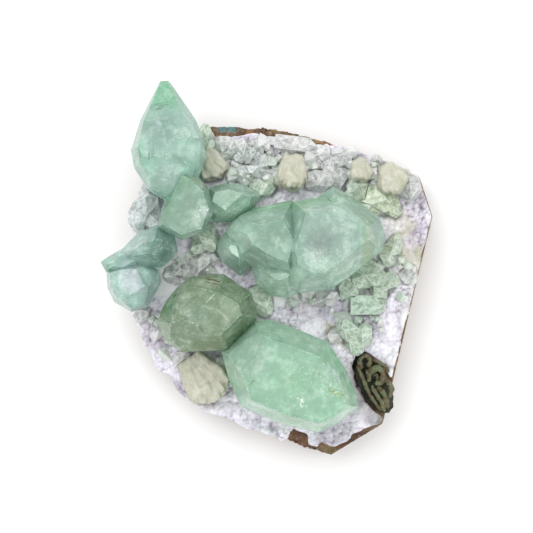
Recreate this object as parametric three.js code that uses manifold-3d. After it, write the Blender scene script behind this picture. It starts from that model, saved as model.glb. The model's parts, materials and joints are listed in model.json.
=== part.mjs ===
// An apophyllite specimen: green tetragonal crystals on a crust of white and lilac chalcedony,
// which lines a slab of brown basalt. The slab was sawn flat below and on its right side, and
// was broken along its left and upper sides. Stilbite sheaves and many small clear crystals
// grew among the large ones, and green celadonite fills a hollow near the lower right corner.
//
// Millimetres, +Z up. The slab lies on its sawn base, +X is to the right and +Y is away, seen
// from above. Headings are degrees from +X towards +Y, and rises are degrees above level. The
// places below are counted from a point near the middle, and the last lines move it there.

import * as THREE from 'three';
import { ConvexGeometry } from 'three/addons/geometries/ConvexGeometry.js';
import { mergeVertices } from 'three/addons/utils/BufferGeometryUtils.js';
import Module from 'manifold-3d';

const wasm = await Module();
wasm.setup();

// Heights above the sawn base.
const SLAB_TOP = 10.5;
const CRUST_FOOT = 10.8;
const CRUST_TOP = 15.2;
const HOLLOW_FLOOR = 11.6;
const HOLLOW_ROOF = 22;

// Space left between neighbouring pieces.
const SEAM = 0.3;

// The block that the crust is shaped from: its size and the middle of its top.
const BLOCK = { width: 106, depth: 106, height: 40, middle: [4, -8] };

// The slab's outline, from its upper left corner clockwise.
const SLAB_OUTLINE = [
  [-39.0, 20.4], [-36.9, 28.0], [-31.1, 35.8], [-23.5, 41.3], [-17.3, 43.1], [-9.3, 43.0],
  [-5.1, 42.2], [-0.8, 42.8], [5.1, 41.6], [11.8, 40.2], [17.9, 38.5], [25.6, 35.9],
  [32.6, 33.5], [39.9, 31.1], [46.7, 27.4], [50.7, 15.3], [35.5, -48.0], [19.8, -57.5],
  [10.9, -55.4], [6.5, -53.1], [-1.4, -51.0], [-8.1, -48.4], [-13.6, -45.8], [-18.8, -44.6],
  [-23.5, -41.3], [-27.7, -37.9], [-29.6, -33.2], [-33.2, -32.0], [-35.2, -27.2],
  [-37.9, -21.9], [-39.4, -16.5], [-41.3, -10.6], [-40.5, -1.2], [-38.7, 8.1], [-39.2, 13.7],
];

// Outline edges that the saw made: both ends of each lie past this line.
const SAWN_FROM = 14;
const SAWN_TO = 17;

// How far the broken sides slope in below, and how rough they are.
const UNDERCUT = 3.2;
const RAGGED = 0.9;
const SLAB_COURSES = 3;
const SIDE_STEP = 6;

// The crust's outline lies inside the slab's. It leaves basalt bare along the upper rim and in
// three notches along the lower one.
const CRUST_OUTLINE = [
  [-38.5, 20.2], [-36.4, 27.6], [-30.5, 35.2], [-23.0, 40.3], [-16.6, 39.5], [-10.5, 38.9],
  [-7.1, 39.7], [-3.4, 40.5], [-1.2, 39.3], [5.4, 38.5], [10.1, 37.0], [15.4, 36.1],
  [21.3, 36.8], [25.3, 35.4], [32.4, 33.1], [39.6, 30.6], [46.0, 26.9], [50.0, 15.2],
  [34.6, -47.2], [25.5, -50.4], [24.7, -52.8], [19.1, -54.6], [17.0, -52.6], [15.0, -54.4],
  [12.4, -54.0], [12.3, -50.6], [7.7, -49.0], [6.5, -52.4], [-1.4, -50.4], [-8.1, -47.7],
  [-13.3, -45.3], [-18.5, -44.0], [-23.0, -40.7], [-27.3, -37.4], [-29.1, -32.8],
  [-32.8, -31.5], [-34.7, -26.9], [-37.4, -21.7], [-38.9, -16.2], [-40.7, -10.5],
  [-40.0, -1.2], [-38.2, 8.1], [-38.7, 13.6],
];

// The crust is a field of rounded knobs on a jittered lattice.
const KNOB_SPACING = 6.4;
const KNOB_RADIUS = 5.2;
const KNOB_RISE = 1.6;
const KNOB_JITTER = 0.8;
const KNOB_SMALLEST = 0.75;
const KNOB_SPREAD = 0.4;
const GRID_STEP = 4.6;

// Broad swellings and hollows of the crust: place, reach and height.
const SWELLS = [
  { at: [-22, 12], reach: 24, height: 3.2 },
  { at: [4, 4], reach: 22, height: 2.4 },
  { at: [2, -26], reach: 18, height: 1.6 },
  { at: [14, -12], reach: 5, height: -2.6 },
  { at: [43, 6], reach: 6, height: -1.8 },
  { at: [38, -20], reach: 7, height: -1.2 },
];

// A hollow with bare basalt below, and the steep ridge that shades it.
const HOLLOW = { at: [32.6, -35.6], length: 20.8, width: 9.6, turn: -62, sides: 14 };
const HOLLOW_EDGE = 1.25;
const HOLLOW_STEEPNESS = 3;
const RIDGE = { from: [21, -25], to: [34.5, -46], width: 3.4, height: 3.6 };

// Apophyllite: a pyramid face lies this far round from the basal face.
const AXIAL_RATIO = 1.762;
const PYRAMID_TURN = Math.atan(AXIAL_RATIO);

function hash(a, b) {
  const s = Math.sin(a * 127.1 + b * 311.7) * 43758.5453;
  return s - Math.floor(s);
}

// Solids and geometries

function solidOf(geometry) {
  const bare = geometry.index ? geometry.toNonIndexed() : geometry.clone();
  bare.deleteAttribute('normal');
  bare.deleteAttribute('uv');
  const merged = mergeVertices(bare, 1e-4);
  return new wasm.Manifold(new wasm.Mesh({
    numProp: 3,
    vertProperties: new Float32Array(merged.attributes.position.array),
    triVerts: new Uint32Array(merged.index.array),
  }));
}

function geometryOf(solid) {
  const mesh = solid.getMesh();
  const geometry = new THREE.BufferGeometry();
  geometry.setAttribute('position', new THREE.BufferAttribute(mesh.vertProperties, 3));
  geometry.setIndex(new THREE.BufferAttribute(mesh.triVerts, 1));
  geometry.computeVertexNormals();
  return geometry;
}

// Cutting leaves crumbs, and a piece is its largest body.
function largestBody(solid) {
  const bodies = solid.decompose();
  return bodies.reduce((best, body) => (body.volume() > best.volume() ? body : best));
}

function direction(heading, rise) {
  const [h, r] = [heading, rise].map(THREE.MathUtils.degToRad);
  return new THREE.Vector3(Math.cos(r) * Math.cos(h), Math.cos(r) * Math.sin(h), Math.sin(r));
}

// A crystal is where its flat faces' half-spaces meet. It grows about the point `at` along its
// c axis, and each face's distance from that point is a size in millimetres. Four-number lists
// go left, top, right, bottom round the axis, as seen along it.
//
// `girdle` is the crystal's outline from above, clockwise. Each of its edges carries one face
// that leans in upwards and one that leans in downwards, by `lean` degrees.
function crystal({
  at, heading, rise = 0, roll = 0, point, back = point, prism, cap, foot = cap,
  girdle = [], lean = 20, level = at[2],
}) {
  const turn = THREE.MathUtils.degToRad;
  const along = direction(heading, rise);
  const left = direction(heading + 90, 0);
  const up = new THREE.Vector3().crossVectors(along, left);
  const centre = new THREE.Vector3(...at);
  const planes = [];
  const face = (normal, distance) => {
    planes.push({ normal, distance: distance + normal.dot(centre) });
  };
  const four = (sizes) => (Array.isArray(sizes) ? sizes : [sizes, sizes, sizes, sizes]);
  const outward = (degrees) => left.clone().multiplyScalar(Math.cos(turn(degrees)))
    .addScaledVector(up, Math.sin(turn(degrees)));
  const tilted = (radial, side) => radial.clone().multiplyScalar(Math.sin(PYRAMID_TURN))
    .addScaledVector(along, side * Math.cos(PYRAMID_TURN));
  for (let i = 0; i < 4; i += 1) {
    const pyramidWay = outward(roll + 90 * i);
    face(tilted(pyramidWay, 1), four(point)[i]);
    face(tilted(pyramidWay, -1), four(back)[i]);
    face(outward(roll + 90 * i + 45), four(prism)[i]);
  }
  face(along.clone(), cap);
  face(along.clone().negate(), foot);
  girdle.forEach(([x, y], i) => {
    const [nx, ny] = girdle[(i + 1) % girdle.length];
    const outwards = THREE.MathUtils.radToDeg(Math.atan2(nx - x, y - ny));
    for (const side of [lean, -lean]) {
      const normal = direction(outwards, side);
      planes.push({ normal, distance: normal.dot(new THREE.Vector3(x, y, level)) });
    }
  });
  return planes;
}

// The corners of the convex body inside the planes, with every face moved out by `grow`.
function cornersOf(planes, grow = 0) {
  const corners = [];
  const meet = new THREE.Vector3();
  for (let i = 0; i < planes.length; i += 1) {
    for (let j = i + 1; j < planes.length; j += 1) {
      for (let k = j + 1; k < planes.length; k += 1) {
        const [a, b, c] = [planes[i], planes[j], planes[k]];
        const bc = new THREE.Vector3().crossVectors(b.normal, c.normal);
        const volume = a.normal.dot(bc);
        if (Math.abs(volume) < 1e-6) continue;
        const ca = new THREE.Vector3().crossVectors(c.normal, a.normal);
        const ab = new THREE.Vector3().crossVectors(a.normal, b.normal);
        meet.copy(bc).multiplyScalar(a.distance + grow).addScaledVector(ca, b.distance + grow)
          .addScaledVector(ab, c.distance + grow).divideScalar(volume);
        if (planes.every((p) => p.normal.dot(meet) < p.distance + grow + 1e-5)) {
          corners.push(meet.clone());
        }
      }
    }
  }
  return corners;
}

function bodyOf(planes, grow = 0) {
  return solidOf(new ConvexGeometry(cornersOf(planes, grow)));
}

// Large crystals. Those that grew through each other are one piece.
const LARGE = {
  apophyllite_spire: [
    crystal({
      at: [-28.6, 34.3, 27], heading: 93.5, rise: 4, roll: -8,
      point: [11.6, 9.8, 11.6, 10.6], back: [12.4, 11.4, 13, 11], prism: 12.4,
      cap: 20.6, foot: 18, lean: 16,
      girdle: [
        [-31.3, 54.6], [-28.7, 54.9], [-20.7, 43.1], [-18.4, 37.8], [-17.8, 31.9],
        [-20.7, 23.7], [-27.8, 17.8], [-34.9, 22.5], [-39.0, 29.0], [-39.9, 34.3],
        [-37.2, 43.1],
      ],
    }),
  ],
  apophyllite_shoulder: [
    crystal({
      at: [-23.4, 18.7, 26], heading: -50, rise: 75, roll: -17,
      point: [13, 13.4, 13, 11.6], prism: [12, 11.6, 12, 11], cap: 9.8, foot: 12,
      lean: 14, level: 29,
      girdle: [
        [-25.3, 29.1], [-20.3, 26.7], [-16.8, 22.4], [-15.3, 16.5], [-18.0, 10.1],
        [-24.7, 7.7], [-32.0, 11.2], [-30.8, 16.8],
      ],
    }),
    crystal({
      at: [-10.8, 19, 23.4], heading: 4, rise: 10, roll: 30,
      point: [7, 7.6, 7, 7], prism: 7.8, cap: 10.4, foot: 12, lean: 20, level: 24,
      girdle: [
        [-16.7, 23.5], [-10.8, 25.0], [-6.6, 24.1], [-2.8, 22.3], [-1.6, 20.8],
        [-3.7, 16.7], [-8.4, 13.1], [-15.5, 13.1], [-18.8, 17.9],
      ],
    }),
  ],
  apophyllite_west: [
    crystal({
      at: [-33.4, 5.4, 25.2], heading: 204, rise: 6, roll: 14,
      point: [8, 8.4, 8, 8], prism: [8.2, 8, 8, 8.4], cap: 12, foot: 12, lean: 24,
      girdle: [
        [-27.3, 10.2], [-26.1, 4.3], [-30.6, -0.4], [-38.6, 0.1], [-43.0, 1.3], [-43.0, 4.9],
        [-38.0, 9.9], [-32.4, 12.3],
      ],
    }),
    crystal({
      at: [-42, 1, 23.6], heading: 168, rise: 8, roll: 40,
      point: 5.6, prism: 5.4, cap: 9, foot: 8, lean: 26, level: 25,
      girdle: [
        [-49.0, 1.3], [-46.9, 2.8], [-43.4, 4.9], [-37.5, 4.9], [-36.3, 0.7],
        [-42.2, -2.2], [-47.5, -1.6],
      ],
    }),
    crystal({
      at: [-39.7, -5, 20.4], heading: 160, rise: 72, roll: 50,
      point: [9.2, 9.4, 9.2, 9], prism: [9, 9.4, 10.4, 9.4], cap: 9.4, foot: 9,
      lean: 16, level: 23,
      girdle: [
        [-47.5, -1.0], [-43.1, 0.7], [-36.6, 1.6], [-32.1, -1.0], [-31.2, -4.6],
        [-33.9, -9.6], [-35.4, -12.0], [-40.1, -13.5], [-45.2, -10.5], [-47.2, -6.4],
      ],
    }),
  ],
  apophyllite_centre: [
    crystal({
      at: [18.6, 7, 26.6], heading: 8, rise: 3, roll: 42,
      point: [14.6, 15.2, 14.8, 14], back: 16.4, prism: [13.4, 14.6, 13.6, 13.4], cap: 17.4,
      foot: 18, lean: 22, level: 27,
      girdle: [
        [7.5, 19.8], [23.0, 21.8], [29.7, 17.1], [33.5, 14.2], [35.0, 8.9],
        [34.1, 4.8], [25.0, -2.5], [18.6, -6.9], [9.8, -7.8], [5.4, -6.3], [2.8, 4.8],
      ],
    }),
    crystal({
      at: [1, 8, 25.6], heading: 190, rise: 5, roll: 44,
      point: [12.6, 12.2, 12.6, 12], back: 14, prism: [12.4, 13, 12.4, 12.6], cap: 14,
      foot: 13, lean: 24, level: 26,
      girdle: [
        [-11.9, 10.4], [-9.0, 15.4], [-6.9, 16.6], [7.5, 19.6], [13.4, 7.8],
        [9.3, -5.7], [-1.3, -1.6], [-8.4, 2.5],
      ],
    }),
    crystal({
      at: [4.6, -2.6, 24], heading: -80, rise: 30, roll: 20,
      point: [8.2, 8.8, 8.2, 8.4], prism: 9, cap: 9.6, foot: 8, lean: 30, level: 24,
      girdle: [
        [-4.3, -0.4], [-1.3, 2.5], [6.9, 3.7], [13.4, 0.7], [12.3, -5.5], [6.9, -9.3],
        [1.0, -8.7], [-3.1, -5.2],
      ],
    }),
    crystal({
      at: [-9.4, 4.4, 22.6], heading: 220, rise: 30, roll: 10,
      point: 7.4, prism: 7.6, cap: 8, foot: 8, lean: 26, level: 22,
      girdle: [
        [-15.5, 6.1], [-11.7, 10.8], [-5.8, 9.0], [-3.1, 1.3], [-7.8, -2.8],
        [-13.2, 1.3],
      ],
    }),
    crystal({
      at: [20.4, 18, 26], heading: 92, rise: 20, roll: 4,
      point: 6.6, prism: 7, cap: 8, foot: 8, lean: 24, level: 26,
      girdle: [
        [14.6, 20.2], [19.6, 23.7], [24.9, 20.8], [25.2, 16.1], [18.1, 14.9],
      ],
    }),
  ],
  apophyllite_lower_left: [
    crystal({
      at: [-17.2, -13.9, 26.6], heading: 188, rise: 12, roll: 42,
      point: [11.4, 11, 11.2, 11], back: [13.6, 12.6, 13.6, 13], prism: [12, 11.4, 11.6, 11.6],
      cap: 15.4, foot: 15, lean: 24, level: 27,
      girdle: [
        [-32.2, -16.3], [-29.9, -10.4], [-25.4, -5.1], [-21.9, -2.8], [-12.5, -2.2],
        [-4.3, -7.8], [-2.5, -15.1], [-7.5, -20.7], [-11.0, -24.6], [-25.4, -25.2],
        [-29.9, -22.8],
      ],
    }),
  ],
  apophyllite_lower_right: [
    crystal({
      at: [6.9, -32.8, 27], heading: -42, rise: 24, roll: 4,
      point: [15.8, 12.2, 16.4, 15.4], back: 17.8, prism: 17.4, cap: 28, foot: 22,
      lean: 18, level: 26,
      girdle: [
        [-13.4, -25.2], [-7.8, -19.6], [-3.4, -16.0], [1.6, -15.7], [9.9, -18.7],
        [18.1, -22.2], [23.1, -29.9], [28.4, -41.6], [20.1, -47.2], [15.1, -49.0],
        [4.0, -46.3], [-7.8, -41.3], [-11.3, -32.8],
      ],
    }),
  ],
};

// Small crystals in clumps. Each row is place, length, width, heading, rise and roll.
const SMALL = {
  green_crystal_beside_spire: [
    [[-18.4, 39.9], 6.9, 3.6, 84, 20, 20],
    [[-16.9, 36.0], 4.5, 3.0, 60, 20, 0],
  ],
  clear_crystals_beside_spire: [
    [[-15.7, 29.4], 6.0, 3.9, 112, 35, 20],
    [[-17.8, 27.3], 4.2, 3.0, 200, 25, 10],
  ],
  clear_crystals_rim_left: [
    [[-13.3, 36.6], 5.1, 3.9, 70, 45, 20],
    [[-10.9, 34.5], 3.9, 3.0, 20, 30, 0],
  ],
  clear_crystals_rim_middle: [
    [[-7.6, 35.7], 5.4, 4.2, 100, 42, 10],
    [[-4.9, 33.9], 4.2, 3.0, 60, 30, 30],
    [[-2.2, 36.0], 5.1, 3.6, 80, 45, 40],
    [[-8.5, 32.7], 3.6, 2.7, 200, 25, 0],
  ],
  clear_crystals_upper: [
    [[-1.3, 30.9], 5.4, 3.6, 30, 32, 10],
    [[-4.0, 28.8], 5.1, 3.6, 190, 35, 20],
    [[-7.0, 28.8], 4.5, 3.0, 150, 28, 0],
    [[-9.4, 30.6], 3.6, 2.7, 120, 28, 10],
  ],
  clear_blade_rim: [
    [[10.6, 36.6], 16.1, 4.2, -7, 4, 45],
    [[7.0, 34.5], 7.2, 3.3, -22, 10, 30],
    [[16.6, 34.5], 6.0, 3.6, 12, 16, 20],
  ],
  clear_crystals_rim_right: [
    [[23.4, 32.4], 5.7, 4.2, 42, 38, 20],
    [[20.5, 31.5], 4.2, 3.0, 160, 28, 0],
  ],
  clear_crystals_inner_right: [
    [[16.6, 25.8], 8.4, 5.1, 10, 24, 20],
    [[22.0, 26.7], 6.6, 4.2, 60, 32, 40],
    [[19.0, 29.4], 5.7, 3.9, 112, 28, 10],
    [[13.3, 26.4], 5.1, 3.3, 170, 20, 0],
  ],
  grey_green_crystals: [
    [[-0.7, 23.4], 7.2, 4.5, 20, 20, 30],
    [[2.2, 25.8], 4.5, 3.3, 60, 30, 10],
  ],
  green_pyramid: [
    [[27.0, 22.6], 7.5, 5.7, 76, 30, 45],
    [[24.6, 20.8], 4.5, 3.3, 200, 20, 10],
  ],
  yellow_green_crystals: [
    [[33.9, 19.9], 9.6, 6.3, -20, 24, 30],
    [[30.3, 17.5], 6.3, 4.5, 205, 20, 10],
    [[38.1, 17.5], 5.7, 4.2, -60, 28, 20],
  ],
  clear_crystals_east_rim: [
    [[43.5, 23.7], 6.6, 5.1, 70, 42, 20],
    [[41.1, 26.1], 4.8, 3.6, 125, 28, 10],
  ],
  green_crystals_upper_right: [
    [[37.8, 4.9], 6.0, 4.2, 30, 28, 20],
    [[36.3, 2.2], 4.8, 3.6, -62, 28, 40],
    [[39.0, 7.6], 4.5, 3.3, 72, 28, 0],
  ],
  green_crystals_right: [
    [[31.8, -2.5], 8.4, 5.7, -30, 28, 20],
    [[36.6, -4.3], 6.6, 4.8, 22, 32, 40],
    [[28.2, -4.3], 6.6, 4.8, 222, 26, 10],
    [[33.9, -7.3], 6.0, 4.2, -80, 28, 30],
  ],
  square_crystal: [
    [[24.6, -6.7], 5.7, 5.7, 100, 72, 45],
  ],
  flat_crystal_right: [
    [[30.9, -11.5], 10.8, 5.7, 0, 8, 45],
  ],
  clear_shards_right: [
    [[43.2, -1.6], 5.7, 3.3, 62, 28, 0],
    [[41.7, -3.7], 4.5, 2.7, -40, 26, 20],
  ],
  aqua_crystals: [
    [[24.6, -19.0], 7.8, 5.4, 150, 28, 30],
    [[29.1, -20.5], 7.2, 4.8, 62, 28, 10],
    [[26.7, -23.7], 6.6, 4.2, -72, 24, 30],
  ],
  small_crystal_middle: [
    [[19.9, -21.4], 4.5, 3.6, 200, 30, 10],
  ],
  clear_shards_below_centre: [
    [[18.7, -8.8], 6.6, 3.0, 20, 22, 10],
    [[15.4, -10.3], 4.2, 2.7, 200, 22, 10],
  ],
  clear_crystals_left: [
    [[-35.7, 18.4], 9.6, 6.3, 62, 28, 20],
    [[-38.1, 14.5], 7.2, 5.1, 232, 18, 40],
    [[-33.9, 13.6], 6.0, 4.5, -70, 28, 0],
    [[-35.4, 22.3], 5.4, 3.9, 100, 36, 30],
  ],
  clear_shards_left: [
    [[-26.4, -1.6], 7.2, 3.0, 10, 22, 20],
    [[-29.1, -2.8], 4.2, 2.7, 162, 22, 0],
  ],
  clear_shards_inner: [
    [[-19.6, 0.4], 7.8, 4.8, 62, 28, 10],
    [[-17.2, 2.5], 5.4, 3.6, 32, 28, 30],
    [[-21.4, -1.9], 4.8, 3.3, 200, 18, 0],
  ],
  green_prism_inner: [
    [[-17.8, 8.5], 10.2, 5.7, -52, 18, 20],
    [[-20.2, 5.8], 5.7, 3.9, 222, 18, 0],
  ],
  pointed_crystal_middle: [
    [[-1.3, -10.9], 9.6, 5.4, -66, 18, 30],
  ],
  clear_crystal_lower_left: [
    [[-13.9, -30.6], 7.8, 4.5, 100, 18, 20],
  ],
  shard_lower_left: [
    [[-25.2, -27.0], 5.4, 3.3, 40, 18, 20],
  ],
  small_crystal_lower_left: [
    [[-37.2, -14.2], 4.8, 3.6, 60, 36, 10],
  ],
};

// A small crystal's sizes as shares of its width, and its ends and height over the crust as
// shares of its length.
const SMALL_POINT = 0.56;
const SMALL_PRISM = 0.5;
const SMALL_CAP = 0.46;
const SMALL_FOOT = 0.5;
const SMALL_LIFT = 0.08;

// Stilbite sheaves: blades that fan out from one end, each a flat bar with a blunt point.
const SHEAVES = {
  stilbite_sheaf_upper_left: {
    at: [-18.6, 34.4], heading: -62, length: 11, width: 4, thickness: 2.2, fan: 56, blades: 3,
    rise: 12,
  },
  stilbite_sheaf_upper: {
    at: [8.2, 33.4], heading: -96, length: 13, width: 4, thickness: 2.4, fan: 44, blades: 3,
    rise: 16,
  },
  stilbite_sheaf_upper_right: {
    at: [27.6, 32.2], heading: -78, length: 8.4, width: 3.4, thickness: 2.2, fan: 56, blades: 3,
    rise: 16,
  },
  stilbite_sheaf_right: {
    at: [35.4, 30.4], heading: -66, length: 11, width: 4, thickness: 2.2, fan: 56, blades: 3,
    rise: 14,
  },
  stilbite_sheaf_lower_left: {
    at: [-23.4, -27.4], heading: -53, length: 17.6, width: 6.4, thickness: 3.6, fan: 44, blades: 5,
    rise: 9,
  },
};
const SHEAF_POINT = 52;
const SHEAF_LIFT = 0.6;
const SHEAF_STAGGER = 0.9;
const SHEAF_SHORTEST = 0.86;
const SHEAF_SPREAD = 0.2;
const SHEAF_ROUNDING = 0.35;
const SHEAF_TOSS = 10;
const SHEAF_TILT = 18;
const BLADE_TAIL = 1.2;

// Worm-like growths in the hollow: rings and arcs, as centre, radius, start and sweep, and the
// worm's own thickness.
const WORMS = [
  [[29.4, -29.4], 2.3, 20, 330, 1.5],
  [[33.4, -31.8], 2.1, 200, 300, 1.4],
  [[32.4, -36.4], 2.6, 90, 250, 1.5],
  [[35.2, -40.2], 2.1, -30, 280, 1.3],
  [[33.6, -44.6], 1.9, 40, 230, 1.2],
];
const WORM_STEP = 40;
const WORM_SIDES = 5;
const WORM_WAVE = 1.1;
const WORM_TURNS = 1.3;
const WORM_SUNK = 0.62;
const WORM_BED = 0.9;

// The slab of basalt

function inwards(outline, i) {
  const [px, py] = outline[(i + outline.length - 1) % outline.length];
  const [nx, ny] = outline[(i + 1) % outline.length];
  const length = Math.hypot(nx - px, ny - py);
  return [(ny - py) / length, -(nx - px) / length];
}

// Long edges get more points, so that a broken side can be ragged.
function resample(outline) {
  const points = [];
  outline.forEach(([x, y], i) => {
    const [nx, ny] = outline[(i + 1) % outline.length];
    const sawn = i >= SAWN_FROM && i < SAWN_TO;
    const pieces = sawn ? 1 : Math.max(1, Math.round(Math.hypot(nx - x, ny - y) / SIDE_STEP));
    for (let k = 0; k < pieces; k += 1) {
      const t = k / pieces;
      const ragged = !sawn && (i !== SAWN_TO || k > 0);
      points.push({ at: [x + (nx - x) * t, y + (ny - y) * t], ragged });
    }
  });
  return points;
}

// A closed wall through rings of equal count, with a flat face at each end.
function loft(rings) {
  const count = rings[0].length;
  const positions = rings.flat(2);
  const index = [];
  for (let r = 0; r + 1 < rings.length; r += 1) {
    for (let i = 0; i < count; i += 1) {
      const j = (i + 1) % count;
      const [low, high] = [r * count, (r + 1) * count];
      const [a, b, c, d] = [low + i, low + j, high + j, high + i];
      index.push(a, c, b, a, d, c);
    }
  }
  const cap = (ring, first, facesUp) => {
    const flat = ring.map(([x, y]) => new THREE.Vector2(x, y));
    const triangles = THREE.ShapeUtils.triangulateShape(flat, []);
    const areas = triangles.map((corners) => THREE.ShapeUtils.area(corners.map((c) => flat[c])));
    const anticlockwise = areas.reduce((sum, area) => sum + area) > 0;
    for (const corners of triangles) {
      const [a, b, c] = corners.map((corner) => first + corner);
      if (anticlockwise === facesUp) index.push(a, b, c);
      else index.push(a, c, b);
    }
  };
  cap(rings[0], 0, false);
  cap(rings[rings.length - 1], (rings.length - 1) * count, true);
  const geometry = new THREE.BufferGeometry();
  geometry.setAttribute('position', new THREE.Float32BufferAttribute(positions, 3));
  geometry.setIndex(index);
  return geometry;
}

function basaltSlab() {
  const points = resample(SLAB_OUTLINE);
  const plan = points.map((p) => p.at);
  const rings = [];
  for (let course = 0; course <= SLAB_COURSES; course += 1) {
    const share = course / SLAB_COURSES;
    rings.push(points.map((p, i) => {
      const [ix, iy] = inwards(plan, i);
      const slope = p.ragged ? UNDERCUT * (1 - share) ** 2 : 0;
      const rough = p.ragged && course < SLAB_COURSES ? RAGGED * hash(i, course) : 0;
      return [p.at[0] + ix * (slope + rough), p.at[1] + iy * (slope + rough), SLAB_TOP * share];
    }));
  }
  return solidOf(loft(rings));
}

// The crust of chalcedony

function knobs(x, y) {
  const column = Math.round(x / KNOB_SPACING);
  const row = Math.round(y / KNOB_SPACING);
  let highest = 0;
  for (let i = column - 1; i <= column + 1; i += 1) {
    for (let j = row - 1; j <= row + 1; j += 1) {
      const kx = (i + (hash(i, j) - 0.5) * KNOB_JITTER) * KNOB_SPACING;
      const ky = (j + (hash(j, i + 40) - 0.5) * KNOB_JITTER) * KNOB_SPACING;
      const radius = KNOB_RADIUS * (KNOB_SMALLEST + KNOB_SPREAD * hash(i + 9, j));
      const near = 1 - ((x - kx) ** 2 + (y - ky) ** 2) / radius ** 2;
      highest = Math.max(highest, Math.sqrt(Math.max(0, near)) * radius / KNOB_RADIUS);
    }
  }
  return highest;
}

function bump(distance, reach) {
  return Math.exp(-((distance / reach) ** 2) * 2);
}

// Distance from a point to the stretch between two others.
function offLine([x, y], [ax, ay], [bx, by]) {
  const t = ((x - ax) * (bx - ax) + (y - ay) * (by - ay)) / ((bx - ax) ** 2 + (by - ay) ** 2);
  const s = Math.min(1, Math.max(0, t));
  return Math.hypot(x - ax - (bx - ax) * s, y - ay - (by - ay) * s);
}

function hollowShare(x, y) {
  const turn = THREE.MathUtils.degToRad(HOLLOW.turn);
  const [dx, dy] = [x - HOLLOW.at[0], y - HOLLOW.at[1]];
  const u = (dx * Math.cos(turn) + dy * Math.sin(turn)) / (HOLLOW.length / 2);
  const v = (-dx * Math.sin(turn) + dy * Math.cos(turn)) / (HOLLOW.width / 2);
  const inside = HOLLOW_EDGE - Math.hypot(u, v);
  return Math.min(1, Math.max(0, inside * HOLLOW_STEEPNESS));
}

function crustHeight(x, y) {
  let height = CRUST_TOP + KNOB_RISE * knobs(x, y);
  for (const swell of SWELLS) {
    height += swell.height * bump(Math.hypot(x - swell.at[0], y - swell.at[1]), swell.reach);
  }
  height += RIDGE.height * bump(offLine([x, y], RIDGE.from, RIDGE.to), RIDGE.width);
  const share = hollowShare(x, y);
  return Math.max(HOLLOW_FLOOR, height * (1 - share) + HOLLOW_FLOOR * share);
}

function prismOf(outline, low, high) {
  const shape = new THREE.Shape(outline.map(([x, y]) => new THREE.Vector2(x, y)));
  const geometry = new THREE.ExtrudeGeometry(shape, { depth: high - low, bevelEnabled: false });
  geometry.translate(0, 0, low);
  return solidOf(geometry);
}

function chalcedonyCrust() {
  const { width, depth, height, middle } = BLOCK;
  const block = new THREE.BoxGeometry(
    width, depth, height, Math.round(width / GRID_STEP), Math.round(depth / GRID_STEP), 1);
  block.translate(...middle, -height / 2);
  const position = block.attributes.position;
  for (let i = 0; i < position.count; i += 1) {
    if (position.getZ(i) === 0) position.setZ(i, crustHeight(position.getX(i), position.getY(i)));
  }
  return solidOf(block).intersect(prismOf(CRUST_OUTLINE, CRUST_FOOT, BLOCK.height));
}

// Small crystals, sheaves and worms

function littleCrystal([[x, y], length, width, heading, rise, roll]) {
  return crystal({
    at: [x, y, crustHeight(x, y) + length * SMALL_LIFT], heading, rise, roll,
    point: width * SMALL_POINT, back: length * 2, prism: width * SMALL_PRISM,
    cap: length * SMALL_CAP, foot: length * SMALL_FOOT,
  });
}

function blade(at, heading, rise, tilt, length, width, thickness) {
  const along = direction(heading, rise);
  const flat = direction(heading + 90, tilt);
  const side = flat.addScaledVector(along, -flat.dot(along)).normalize();
  const up = new THREE.Vector3().crossVectors(along, side);
  const centre = new THREE.Vector3(...at);
  const turn = THREE.MathUtils.degToRad(SHEAF_POINT);
  const tip = length - (width / 2) / Math.tan(turn);
  const rows = [
    [side, width / 2], [side.clone().negate(), width / 2],
    [up, thickness / 2], [up.clone().negate(), thickness / 2],
    [along.clone().negate(), BLADE_TAIL],
  ];
  for (const hand of [1, -1]) {
    const normal = along.clone().multiplyScalar(Math.sin(turn))
      .addScaledVector(side, hand * Math.cos(turn));
    rows.push([normal, tip * Math.sin(turn) + (width / 2) * Math.cos(turn)]);
  }
  return rows.map(([normal, distance]) => ({ normal, distance: distance + normal.dot(centre) }));
}

function sheafBlades({ at, heading, rise, length, width, thickness, fan, blades }) {
  const made = [];
  for (let i = 0; i < blades; i += 1) {
    const share = blades === 1 ? 0 : i / (blades - 1) - 0.5;
    const way = heading + fan * share;
    const reach = length * (SHEAF_SHORTEST + SHEAF_SPREAD * hash(i, length))
      * (1 - SHEAF_ROUNDING * share * share);
    const height = crustHeight(...at) + SHEAF_LIFT + SHEAF_STAGGER * hash(i + 3, width);
    const lift = rise + SHEAF_TOSS * (hash(i, 7) - 0.5);
    made.push(blade([...at, height], way, lift, SHEAF_TILT * share, reach, width, thickness));
  }
  return made;
}

function worm([[x, y], radius, start, sweep, thickness], order) {
  const points = [];
  const steps = Math.round(sweep / WORM_STEP);
  const height = HOLLOW_FLOOR + thickness * WORM_SUNK;
  for (let i = 0; i <= steps; i += 1) {
    const angle = THREE.MathUtils.degToRad(start + (sweep * i) / steps);
    const lift = WORM_WAVE * hash(order, 1) * (1 + Math.sin(angle * WORM_TURNS + order)) / 2;
    points.push(new THREE.Vector3(
      x + radius * Math.cos(angle), y + radius * Math.sin(angle), height + lift));
  }
  const round = new THREE.Shape();
  for (let k = 0; k < WORM_SIDES; k += 1) {
    const angle = (2 * Math.PI * k) / WORM_SIDES;
    const [u, v] = [Math.cos(angle) * thickness * 0.5, Math.sin(angle) * thickness * 0.5];
    if (k === 0) round.moveTo(u, v);
    else round.lineTo(u, v);
  }
  const path = new THREE.CatmullRomCurve3(points);
  return solidOf(new THREE.ExtrudeGeometry(round, {
    steps, bevelEnabled: false, extrudePath: path,
  }));
}

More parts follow.
